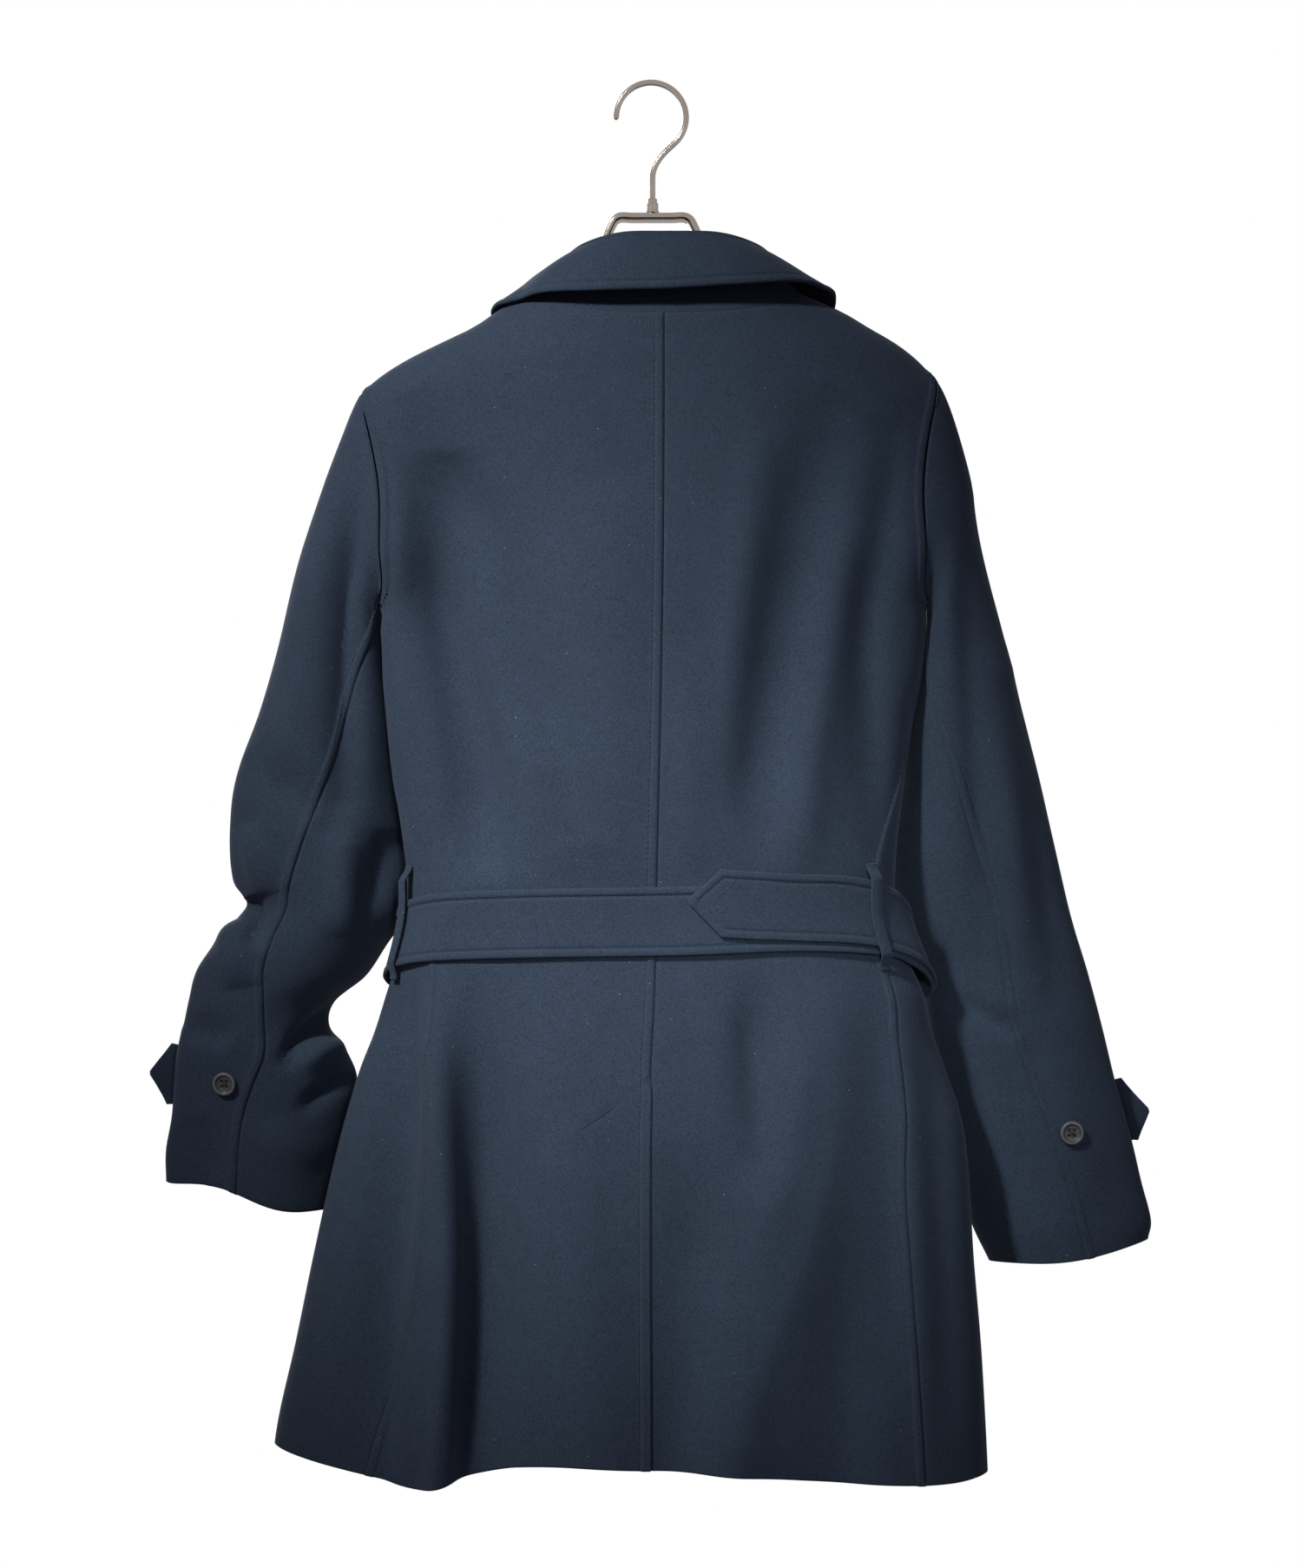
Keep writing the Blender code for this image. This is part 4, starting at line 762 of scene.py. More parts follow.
def creases(across, drop, table):
    """The sum of the creases: a bell across each line, wider on one side, that fades at both ends."""
    places = np.stack(np.broadcast_arrays(across, drop), axis=-1)
    total = np.zeros(places.shape[:-1])
    for left, right, height, points in table:
        apart, along, side = nearest_on(places, line_through(points))
        width = np.where(side > 0, left, right)
        total += height * np.sin(math.pi * along) ** 0.7 * np.exp(-((apart / width) ** 2))
    return total * CREASE_DEPTH


def cloth_relief(points, normal, back_table, front_table):
    """The creases of the side that each point faces, to the back or to the front."""
    facing = ramp(-normal[..., 1], -0.25, 0.35)
    back = creases(points[..., 0], -points[..., 2], back_table)
    front = creases(points[..., 0], -points[..., 2], front_table)
    return back * facing + front * (1 - facing)


def welt(apart):
    """Height beside a lapped seam: rounded at the seam, level to the topstitching, and pulled in there."""
    level = WELT_HEIGHT * (1 - ramp(apart, WELT_WIDTH - 0.6, WELT_WIDTH + 2.2))
    rounding = (WELT_HEIGHT + 0.5) * (1 - ramp(apart, 0, PINCH))
    return level - rounding - STITCH_DENT * np.exp(-(((apart - WELT_WIDTH) / STITCH_GROOVE) ** 2))


def plain_seam(apart):
    return -0.6 * (1 - ramp(apart, 0, PINCH))


def stitched_edge(apart):
    """Height beside a free edge with topstitching: a soft roll outside the stitches."""
    roll = 0.55 * np.exp(-(((apart - EDGE_STITCH / 2) / 2.2) ** 2))
    return roll - STITCH_DENT * np.exp(-(((apart - EDGE_STITCH) / STITCH_GROOVE) ** 2))


def surface_normals(points, outward):
    """Normals of a grid from its neighbours' differences, on the same side as the given directions."""
    down, across = np.gradient(points, axis=0), np.gradient(points, axis=1)
    normal = unit(np.cross(down, across))
    return normal * np.where(np.sum(normal * outward, axis=-1, keepdims=True) < 0, -1, 1)


def spread(start, end, start_speed, end_speed, middle, steps=EDGE_STEPS):
    """Column places between two edges, close together beside each, where a speed is mm for each unit."""
    steps = np.asarray(steps)
    sign = np.sign(end - start)
    first = start + sign * steps / start_speed
    last = (end - sign * steps / end_speed)[:, ::-1]
    share = np.linspace(0, 1, middle + 2)[None, 1:-1]
    between = first[:, -1:] + (last[:, :1] - first[:, -1:]) * share
    return np.concatenate([first, between, last], axis=1)


def across_speed(point_at, place, step=0.5):
    """How many millimetres the surface moves for each unit of its across parameter."""
    ahead, behind = point_at(place + step), point_at(place - step)
    return np.maximum(np.linalg.norm(ahead - behind, axis=-1) / (2 * step), 0.3)


def new_piece(name, mesh, material, nodes=()):
    """Puts a mesh into the scene as a piece that rides on the hung coat and stands for CAD nodes."""
    obj = bpy.data.objects.new(name, mesh)
    bpy.context.scene.collection.objects.link(obj)
    mesh.materials.append(material)
    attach(obj, "root")
    if nodes:
        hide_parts(*nodes)
    return obj


def make_mesh(name, points, faces):
    """A smooth mesh from points in millimetres, with its faces turned outwards by its signed volume."""
    mesh = bpy.data.meshes.new(name)
    mesh.from_pydata((np.asarray(points) * MM).tolist(), [], faces)
    mesh.shade_smooth()
    mesh.calc_loop_triangles()
    corners = np.empty(len(mesh.loop_triangles) * 3, np.int32)
    mesh.loop_triangles.foreach_get("vertices", corners)
    places = np.asarray(points)[corners.reshape(-1, 3)]
    if np.linalg.det(places).sum() < 0:
        mesh.flip_normals()
    return mesh


def quads(rows, columns, start=0, closed=False):
    """The corner numbers of a grid's cells, whose last column may join its first."""
    i = np.arange(rows - 1)[:, None]
    j = np.arange(columns if closed else columns - 1)[None, :]
    n = (j + 1) % columns
    a = start + i * columns
    return np.stack([a + j, a + n, a + columns + n, a + columns + j], axis=-1).reshape(-1, 4)


def border(rows, columns):
    """A grid's outer points as row and column numbers, once round."""
    ring = [(0, j) for j in range(columns)]
    ring += [(i, columns - 1) for i in range(1, rows)]
    ring += [(rows - 1, j) for j in range(columns - 2, -1, -1)]
    return np.array(ring + [(i, 0) for i in range(rows - 2, 0, -1)])


def picked(count, stride):
    """Every so many numbers from 0, with the last one."""
    return np.unique(np.append(np.arange(0, count, stride), count - 1))


def shell(name, outer, inner, stride=4):
    """A closed cloth wall: a fine outer grid, a coarser inner one, and a rounded edge between them."""
    rows, columns, _ = outer.shape
    rows_in, columns_in = picked(rows, stride), picked(columns, stride)
    inner_grid = inner[np.ix_(rows_in, columns_in)]
    ring = border(rows, columns)
    edge, edge_in = outer[ring[:, 0], ring[:, 1]], inner[ring[:, 0], ring[:, 1]]
    inside = outer[np.clip(ring[:, 0], 1, rows - 2), np.clip(ring[:, 1], 1, columns - 2)]
    gap = edge - edge_in
    away = edge - inside
    away = away - gap * np.sum(away * gap, axis=1, keepdims=True) / np.sum(gap * gap, axis=1, keepdims=True)
    middle = (edge + edge_in) / 2 + unit(away) * 0.3 * np.linalg.norm(gap, axis=1, keepdims=True)
    points = np.concatenate([outer.reshape(-1, 3), inner_grid.reshape(-1, 3), middle])
    start_in = rows * columns
    start_ring = start_in + len(rows_in) * len(columns_in)
    count = len(ring)
    here = np.arange(count)
    there = (here + 1) % count
    number = ring[:, 0] * columns + ring[:, 1]
    faces = quads(rows, columns).tolist()
    faces += quads(len(rows_in), len(columns_in), start_in)[:, ::-1].tolist()
    faces += np.stack([number[there], number[here], start_ring + here, start_ring + there], axis=1).tolist()
    row_of = {int(r): k for k, r in enumerate(rows_in)}
    column_of = {int(c): k for k, c in enumerate(columns_in)}
    kept = [k for k in range(count) if int(ring[k, 0]) in row_of and int(ring[k, 1]) in column_of]
    for a, b in zip(kept, kept[1:] + [kept[0] + count]):
        outline = [start_ring + k % count for k in range(b, a - 1, -1)]
        for k in (a, b % count):
            row, column_at = row_of[int(ring[k, 0])], column_of[int(ring[k, 1])]
            outline.append(start_in + row * len(columns_in) + column_at)
        faces.append(outline)
    return make_mesh(name, points, faces)


def cloth_piece(node, points, normal, height, thickness, wool, stride=4):
    """A node's cloth, raised by the height on its outer side: gives the piece and its outer points."""
    outer = points + normal * height[..., None]
    mesh = shell(f"{node}_wool", outer, points - normal * thickness, stride)
    return new_piece(mesh.name, mesh, wool, [node]), outer


def tube(name, path, radius, sides=20, closed=False):
    """A round bar: a circle stands across the path at each of its points, and the ends are shut."""
    path = np.asarray(path, float)
    along = np.roll(path, -1, axis=0) - np.roll(path, 1, axis=0) if closed else np.gradient(path, axis=0)
    along = unit(along)
    side = unit(np.cross(along, np.array([0.0, 1.0, 0.0])))
    up = np.cross(side, along)
    turn = np.linspace(0, 2 * math.pi, sides, endpoint=False)[None, :, None]
    radius = np.broadcast_to(np.asarray(radius, float), len(path))[:, None, None]
    rings = path[:, None] + (side[:, None] * np.cos(turn) + up[:, None] * np.sin(turn)) * radius
    faces = quads(len(path), sides, closed=True).tolist()
    if closed:
        last = (len(path) - 1) * sides
        k = np.arange(sides)
        n = (k + 1) % sides
        faces += np.stack([last + k, last + n, n, k], axis=1).tolist()
    else:
        faces.append(list(range(sides))[::-1])
        faces.append(list(range((len(path) - 1) * sides, len(path) * sides)))
    return make_mesh(name, rings.reshape(-1, 3), faces)


def stitch_line(path, normal, lift=0.1):
    """Stitches along a path: each is a small spindle, thick in its middle, of fixed length and pitch."""
    run = np.concatenate([[0], np.cumsum(np.linalg.norm(np.diff(path, axis=0), axis=1))])
    count = int(run[-1] // STITCH_PITCH)
    if count < 1:
        return np.zeros((0, 3)), np.zeros((0, 4), int)
    centre = (np.arange(count) + 0.5) * STITCH_PITCH
    place = np.stack([np.interp(centre, run, path[:, k]) for k in range(3)], axis=1)
    out = unit(np.stack([np.interp(centre, run, normal[:, k]) for k in range(3)], axis=1))
    ahead = np.stack([np.interp(centre + 0.5, run, path[:, k]) for k in range(3)], axis=1)
    way = unit(ahead - place)
    side = np.cross(way, out)
    turn = np.linspace(0, 2 * math.pi, 5, endpoint=False)[None, None, :, None]
    steps = np.array([-0.5, -0.3, 0.3, 0.5])[None, :, None, None] * STITCH_LENGTH
    size = np.array([0.45, 1.0, 1.0, 0.45])[None, :, None, None] * THREAD
    sink = np.array([-0.5, 0.0, 0.0, -0.5])[None, :, None, None] * THREAD + lift
    at = place[:, None, None] + way[:, None, None] * steps + out[:, None, None] * sink
    ring = side[:, None, None] * np.cos(turn) + out[:, None, None] * np.sin(turn)
    points = (at + ring * size).reshape(-1, 3)
    cell = quads(4, 5, closed=True)
    caps = np.array([[0, 4, 3, 3], [0, 3, 2, 1], [15, 16, 17, 18], [15, 18, 19, 19]])
    one = np.concatenate([cell, caps])
    return points, (one[None] + np.arange(count)[:, None, None] * 20).reshape(-1, 4)


def stitches_piece(name, lines, material):
    """All the stitches of one group of seams, as one mesh."""
    points, faces, start = [], [], 0
    for path, normal in lines:
        some, cells = stitch_line(np.asarray(path), np.asarray(normal))
        points.append(some)
        faces.append(cells + start)
        start += len(some)
    cells = [list(dict.fromkeys(f)) for f in np.concatenate(faces).tolist()]
    mesh = make_mesh(name, np.concatenate(points), cells)
    return new_piece(name, mesh, material)


def fine_levels(side):
    """The drops of a panel's fine rows, closer together round the ends of the armhole and at the hem."""
    top, foot = ARMHOLES[side]
    around = np.linspace(0, math.pi, ARMHOLE_ROWS)
    armhole = (top + foot) / 2 - (foot - top) / 2 * np.cos(around)
    shoulder = np.linspace(NECK_BACK_DROP, top, SHOULDER_ROWS)[:-1]
    below = np.linspace(foot, HEM_DROP - HEM_STEPS[-1], BELOW_ROWS)[1:]
    hem = below[-1] + np.array(HEM_STEPS)
    return np.concatenate([shoulder, armhole, below, hem])


def belt_calm(angle, drop):
    """Creases are pressed flat under the belt."""
    middle = read(BELT_LINE, BELT_COLUMNS, "drop", (angle + 180) % 360 - 180)
    return 1 - BELT_PRESSED * np.exp(-(((drop - middle) / BELT_PRESSED_REACH) ** 4))


def panel_surface(side, turn, level, over=0.0):
    """A panel's outer surface: the part's body, its creases, and outwards by `over` where it laps."""
    sign = -1 if side == "left" else 1
    angle = sign * turn
    drop = panel_drop(angle, np.broadcast_to(level, angle.shape))
    base, normal = body(angle, drop), body_normal(angle, drop)
    top, foot = ARMHOLES[side]
    across = np.abs(turn - 90) / ARMHOLE_CALM_ANGLE
    away = np.hypot(across, (drop - (top + foot) / 2) / ((foot - top) / 2))
    calm = belt_calm(angle, drop) * ramp(drop, NECK_BACK_DROP, NECK_CALM_DROP) * ramp(away, 1.0, 1.3)
    height = cloth_relief(base, normal, BACK_CREASES, FRONT_CREASES) * calm + over
    points = base + normal * height[..., None]
    return points, surface_normals(points, normal)


def seam_relief(points, line, profile):
    apart, _, _ = nearest_on(points, line)
    return profile(apart)


def panel_lines(points, level, side):
    """The panel's edges as lines of points: neck, shoulder, armhole, the seam below it, and centre."""
    top, foot = ARMHOLES[side]
    row = level[:, 0]
    return {
        "neck": points[0],
        "shoulder": points[row <= top + 0.01, -1],
        "armhole": points[(row >= top - 0.01) & (row <= foot + 0.01), -1],
        "side": points[row >= foot - 0.01, -1],
        "centre": points[:, 0],
    }


def build_back_panel(side, wool):
    sign = -1 if side == "left" else 1
    level = fine_levels(side)[:, None]
    end = edge_angle(side, level, True)
    point_at = lambda turn: body(sign * turn, level)
    start = 0 * level
    speeds = across_speed(point_at, start + 1), across_speed(point_at, end - 1)
    turn = spread(start, end, *speeds, BACK_SPREAD)
    points, normal = panel_surface(side, turn, level)
    lines = panel_lines(points, level, side)
    height = seam_relief(points, lines["armhole"][::2], welt)
    below = seam_relief(points, lines["side"][::3], welt)
    height = np.where(np.abs(below) > np.abs(height), below, height)
    height += seam_relief(points, lines["shoulder"][::2], plain_seam)
    if side == "left":
        apart = np.linalg.norm(points - points[:, :1], axis=-1)
        vent = ramp(level, VENT_DROP - VENT_OPENS[0], VENT_DROP + VENT_OPENS[1])
        free = welt(apart) + (WELT_HEIGHT + 0.9) * (1 - ramp(apart, 0, PINCH))
        height += welt(apart) * (1 - vent) + (free + 0.3 * (1 - ramp(apart, 8, 30))) * vent
        seen = np.stack([points[..., 0], -points[..., 2]], axis=-1)
        apart, _, _ = nearest_on(seen, line_through(VENT_STITCH, 8))
        dent, swell, reach = VENT_DENT
        height -= STITCH_DENT * 1.3 * np.exp(-((apart / dent) ** 2))
        height += 0.35 * np.exp(-(((apart - swell) / reach) ** 2))
    else:
        height += plain_seam(np.linalg.norm(points - points[:, :1], axis=-1))
    obj, outer = cloth_piece(f"back_{side}", points, normal, height, CLOTH, wool)
    rows = level[:, 0]
    inset = lambda column: (outer[:, column], normal[:, column])
    lines = [tuple(a[rows > ARMHOLES[side][0]] for a in inset(-1 - WELT_COLUMN))]
    if side == "left":
        lines.append(inset(WELT_COLUMN))
        lines.append(vent_line(outer))
    return lines


def vent_line(outer):
    """The slanting stitches at the vent's top, laid on the nearest points of the panel."""
    count, stride = 60, 6
    path = line_through(VENT_STITCH, count)
    places = np.stack([outer[..., 0], -outer[..., 2]], axis=-1).reshape(-1, 2)
    nearest = [int(np.argmin(np.sum((places - p) ** 2, axis=1))) for p in path[::stride]]
    y = np.interp(np.arange(count), np.arange(0, count, stride), outer.reshape(-1, 3)[nearest, 1])
    out = np.tile([0.0, -1.0, 0.0], (count, 1))
    return np.stack([path[:, 0], y, -path[:, 1]], axis=1), out


def build_front_panel(side, wool):
    sign = -1 if side == "left" else 1
    level = fine_levels(side)[:, None]
    start = edge_angle(side, level, False)
    lap_drop = panel_drop(np.full(level.shape, -181.0 * sign), level)
    lap = 180 - np.abs(angle_at(sign * LAP, lap_drop))
    end = 180 + np.abs(angle_at(-sign * LAP, lap_drop))
    point_at = lambda turn: body(sign * turn, level)
    speeds = across_speed(point_at, start + 1), across_speed(point_at, end - 1)
    turn = spread(start, end, *speeds, FRONT_SPREAD)
    rise = ramp(turn, lap - LAP_SLOPE[0], lap - LAP_SLOPE[1])
    over = (CLOTH + LAP_GAP + 0.3) * rise if side == "left" else 0.0
    points, normal = panel_surface(side, turn, level, over)
    lines = panel_lines(points[:, ::-1], level, side)
    height = seam_relief(points, lines["armhole"][::2], plain_seam)
    height += seam_relief(points, lines["side"][::3], plain_seam)
    height += seam_relief(points, points[::3, -1], stitched_edge)
    obj, outer = cloth_piece(f"front_{side}", points, normal, height, CLOTH, wool)
    return [(outer[:, -1 - EDGE_COLUMN], normal[:, -1 - EDGE_COLUMN])]


def build_vent_underlap(wool):
    level = np.linspace(VENT_DROP + 2, HEM_DROP - 0.5, 80)[:, None]
    width = VENT_LAP * ramp(level, VENT_DROP - 90, VENT_DROP + 36)
    across = read(CENTRE_LINE, CENTRE_COLUMNS, "centre", level) - 0.5 - width * np.linspace(0, 1, 20)
    turn = -angle_at(across, np.broadcast_to(level, across.shape))
    points, normal = panel_surface("left", turn, level, -(CLOTH + VENT_GAP + 0.3))
    mesh = shell("vent_underlap_wool", points, points - normal * CLOTH, 3)
    obj = new_piece(mesh.name, mesh, wool, ["vent_underlap"])


def sleeve_surface(side, turn, share):
    """A sleeve's outer surface: the part's sleeve and its creases, which fade at the armhole."""
    base, normal = sleeve(side, turn, share), sleeve_normal(side, turn, share)
    table = SLEEVE_LEFT_CREASES if side == "left" else SLEEVE_RIGHT_CREASES
    height = cloth_relief(base, normal, table, SLEEVE_FRONT_CREASES) * ramp(share, *SLEEVE_CALM)
    points = base + normal * height[..., None]
    return points, surface_normals(points, normal)


def build_sleeve_piece(side, top, wool):
    rows = SLEEVE_LEFT if side == "left" else SLEEVE_RIGHT
    kind = "top" if top else "under"
    share = SLEEVE_SHARES[:, None]
    place, knots = share * (len(rows) - 1), np.arange(len(rows))
    back = smooth(place, knots, column(rows, SLEEVE_COLUMNS, "back_seam"))
    front = smooth(place, knots, column(rows, SLEEVE_COLUMNS, "front_seam"))
    start, end = (-front, back) if top else (back, 360 - front)
    point_at = lambda turn: sleeve(side, turn, share)
    speeds = [np.maximum(across_speed(point_at, at, 2.0), 0.5) for at in (start + 3, end - 3)]
    steps = EDGE_STEPS if top else EDGE_STEPS[:4]
    turn = spread(start, end, *speeds, SLEEVE_SPREAD[kind], steps)
    points, normal = sleeve_surface(side, turn, np.broadcast_to(share, turn.shape))
    back_edge = points[::3, -1] if top else points[::3, 0]
    front_edge = points[::3, 0] if top else points[::3, -1]
    height = seam_relief(points, back_edge, welt if top else plain_seam)
    height += seam_relief(points, front_edge, plain_seam)
    height += seam_relief(points, points[0], plain_seam) * (share < 0.1)
    obj, outer = cloth_piece(f"sleeve_{side}_{kind}", points, normal, height, CLOTH, wool)
    return [(outer[4:, -1 - WELT_COLUMN], normal[4:, -1 - WELT_COLUMN])] if top else []


def build_collar_fall(wool):
    angle = np.linspace(-COLLAR_END, COLLAR_END, 221)[None, :]
    roll, fall = np.linspace(0, COLLAR_ROLL_SHARE, 15)[:-1], np.linspace(COLLAR_ROLL_SHARE, 1, 46)
    first = len(roll)
    angle, share = np.broadcast_arrays(angle, np.concatenate([roll, fall])[:, None])
    points = collar_profile(angle, share)
    out = collar_out(angle)
    normal = surface_normals(points, out + np.array([0, 0, 0.6]))
    normal[:first] = roll_normal(share[:first], out[:first])
    edge = np.concatenate([points[first:, 0], points[-1], points[first:, -1][::-1]])
    height = seam_relief(points, edge[::2], stitched_edge)
    obj, outer = cloth_piece("collar_fall", points, normal, height, COLLAR_CLOTH, wool, 3)
    apart, _, _ = nearest_on(points, edge[::2])
    rows = np.argmin(np.abs(apart[first:] - EDGE_STITCH), axis=0) + first
    columns = np.arange(angle.shape[1])
    inside = (columns > 5) & (columns < angle.shape[1] - 6)
    return [(outer[rows, columns][inside], normal[rows, columns][inside])]


def roll_normal(share, out):
    """The outward direction on the collar's roll, which turns from inwards over the top to outwards."""
    turn = np.radians(180 - (180 - COLLAR_LEAVE) * np.clip(share / COLLAR_ROLL_SHARE, 0, 1))[..., None]
    return unit(out * np.cos(turn) + np.array([0.0, 0.0, 1.0]) * np.sin(turn))


def build_collar_stand(wool):
    angle = np.linspace(-COLLAR_END, COLLAR_END, 181)[None, :]
    foot_drop = panel_drop(angle, np.full(angle.shape, NECK_BACK_DROP))
    foot = body(angle, foot_drop) + np.array([0, 0, FOOT_RISE])
    tuck = on_body(angle, foot_drop + TUCK, np.full(angle.shape, -CLOTH - 0.5))
    out = collar_out(angle)
    below_roll = np.array([0, 0, COLLAR_ROLL + STAND_GAP])
    top = collar_loop("fold", angle) - out * (COLLAR_ROLL - COLLAR_CLOTH) - below_roll
    share = np.linspace(0, 1, 19)[:, None, None]
    points = np.concatenate([tuck, foot * (1 - share) + top * share])
    normal = np.broadcast_to(out, points.shape)
    mesh = shell("collar_stand_wool", points, points - normal * COLLAR_CLOTH, 3)
    obj = new_piece(mesh.name, mesh, wool, ["collar_stand"])


def belt_surface(table, angle, across, extra):
    """A strip of the belt's width at the table's drop, `extra` over the belt, with a slow wave along it."""
    drop = read(table, BELT_COLUMNS, "drop", angle) + across * BELT_WIDTH / 2
    angle = np.broadcast_to(angle, drop.shape)
    height = read(BELT_LINE, BELT_COLUMNS, "stand_off", angle) + BELT_CLOTH + extra
    height = height + 0.5 * np.sin(np.radians(angle * 9)) * across + 0.5
    points = on_body(angle, drop, height)
    return points, surface_normals(points, body_normal(angle, drop))


def finish_belt(node, points, normal, wool, flat, area, rests):
    outline = np.concatenate([points[0], points[1:, -1], points[-1, ::-1], points[1:-1, 0][::-1]])
    height = seam_relief(points, np.concatenate([outline, outline[:1]])[::2], stitched_edge)
    obj, outer = cloth_piece(node, points, normal, height, BELT_CLOTH, wool, 3)
    return outer


def strip_rows(width):
    """Places across a strip from -1 to 1, closer together at its stitched edges."""
    steps = np.array(STRIP_STEPS) / (width / 2)
    middle = np.linspace(-1 + steps[-1], 1 - steps[-1], 12)[1:-1]
    return np.concatenate([-1 + steps, middle, (1 - steps)[::-1]])


def build_belt(wool):
    across = strip_rows(BELT_WIDTH)[:, None]
    angle = np.linspace(-BELT_END_ANGLE, BELT_END_ANGLE, 421)[None, :]
    points, normal = belt_surface(BELT_LINE, angle, across, 0.0)
    outer = finish_belt("belt", points, normal, wool, BELT_FLAT, BELT_AREA, BACKS)
    return [(outer[r, 8:-8], normal[r, 8:-8]) for r in STITCHED_ROWS]


def build_belt_end(wool):
    across = strip_rows(BELT_WIDTH)[:, None]
    start = BELT_END_LINE[0][0] + BELT_POINT * np.abs(across)
    share = np.concatenate([np.linspace(0, 0.06, 22)[:-1], np.linspace(0.06, 1, 190)])[None, :]
    angle = start + (BELT_END_ANGLE - start) * share
    extra = read(BELT_END_LINE, BELT_COLUMNS, "stand_off", angle) + BELT_CLOTH
    points, normal = belt_surface(BELT_END_LINE, angle, across, extra)
    cut = (BELT_END_FLAT, BELT_END_AREA, ["belt_wool"])
    outer = finish_belt("belt_end", points, normal, wool, *cut)
    first = 11
    lines = [(outer[r, first:-8], normal[r, first:-8]) for r in STITCHED_ROWS]
    middle = slice(6, len(across) - 6)
    lines.append((outer[middle, first], normal[middle, first]))
    return lines


def build_belt_loop(side, wool):
    angle, top, foot, width, height = LOOP_LEFT if side == "left" else LOOP_RIGHT
    run = np.concatenate([[0, 0.01, 0.02], np.linspace(0.035, 0.965, 60), [0.98, 0.99, 1]])[:, None]
    across = np.linspace(-0.5, 0.5, 11)[None, :] * width
    drop = top + (foot - top) * run + 0 * across
    arch = ramp(run, *LOOP_RISE) * (1 - ramp(run, *LOOP_FALL))
    lift = LOOP_CLOTH + LOOP_REST + height * arch + 0 * across
    middle = on_body(angle + 0 * drop, drop, lift)
    along = unit(body(angle + 1 + 0 * drop, drop) - body(angle - 1 + 0 * drop, drop))
    points = middle + along * across[..., None]
    normal = body_normal(angle + 0 * drop, drop)
    groove = np.exp(-(((np.abs(across) - width / 2 + LOOP_STITCH) / 0.5) ** 2))
    crown = 0.5 * (1 - (2 * across / width) ** 4) - 0.35 * groove
    obj, _ = cloth_piece(f"belt_loop_{side}", points, normal, crown, LOOP_CLOTH, wool, 2)


def build_cuff_tab(side, wool):
    start, end = CUFF_TAB_ROWS[side]
    sign = -1.0 if side == "left" else 1.0
    across = strip_rows(TAB_WIDTH)[:, None]
    share = start + (end - start) * (across + 1) / 2
    turn = np.linspace(*TAB_TURNS, 60)[None, :]
    turn, share = np.broadcast_arrays(turn, share)
    normal = sleeve_normal(side, turn, share)
    points = sleeve(side, turn, share) + normal * TAB_LIFT
    straight = unit(np.array([sign * 0.3, 1.0, 0.0]))
    step = np.linspace(0, 1, TAB_STEPS + 1)[None, 1:, None]
    out = np.array([sign, 0.0, 0.0]) * (TAB_FREE + CUFF_TAB_OUT * (1 - np.abs(across)))[..., None]
    out = out + np.array([0.0, TAB_FREE, 0.0])
    points = np.concatenate([points, points[:, -1:] + out * step], axis=1)
    normal = np.concatenate([normal, np.broadcast_to(straight, (len(across), TAB_STEPS, 3))], axis=1)
    normal = surface_normals(points, normal)
    outline = np.concatenate([points[0], points[1:, -1], points[-1, ::-1]])
    height = seam_relief(points, outline, stitched_edge)
    obj, outer = cloth_piece(f"cuff_tab_{side}", points, normal, height, TAB_CLOTH, wool, 2)
    return [(outer[r, :-4], normal[r, :-4]) for r in STITCHED_ROWS]


def button_mesh(name, centre, normal, radius, thickness):
    """A turned button: rings of a dished profile round its normal, with sewing holes sunk into the dish."""
    profile = np.array(BUTTON_PROFILE)
    at = np.concatenate([np.linspace(0.02, 0.55, 30), np.linspace(0.57, 1, 30)]) * (len(profile) - 1)
    r = smooth(at, np.arange(len(profile)), profile[:, 0])[:, None]
    h = smooth(at, np.arange(len(profile)), profile[:, 1])[:, None]
    turn = np.linspace(0, 2 * math.pi, 60, endpoint=False)[None, :]
    u, v = r * np.cos(turn), r * np.sin(turn)
    apart = np.hypot(np.abs(u) - HOLE_PLACE, np.abs(v) - HOLE_PLACE)
    h = h - HOLE_DEPTH * np.exp(-((apart / HOLE_SIZE) ** 6)) * (r < 0.6)
    aim = unit(np.asarray(normal, float))
    side_way = unit(np.cross(aim, [0, 0, 1.0]))
    up_way = np.cross(side_way, aim)
    flat = (side_way * u[..., None] + up_way * v[..., None]) * radius
    grid = centre + flat + aim * h[..., None] * thickness
    rings, sides = grid.shape[:2]
    middle = centre + aim * profile[0, 1] * thickness
    points = np.concatenate([grid.reshape(-1, 3), [middle, np.asarray(centre, float)]])
    k = np.arange(sides)
    n = (k + 1) % sides
    last = (rings - 1) * sides
    faces = quads(rings, sides, closed=True).tolist()
    faces += np.stack([n, k, np.full(sides, rings * sides)], axis=1).tolist()
    faces += np.stack([last + k, last + n, np.full(sides, rings * sides + 1)], axis=1).tolist()
    mesh = make_mesh(name, points, faces)
    rim = np.concatenate([np.broadcast_to(ramp(r, 0.68, 0.84), (rings, sides)).reshape(-1), [0, 0]])
    layer = mesh.attributes.new("rim", "FLOAT", "POINT")
    layer.data.foreach_set("value", rim.astype(np.float32))
    return mesh, (side_way, up_way, aim)


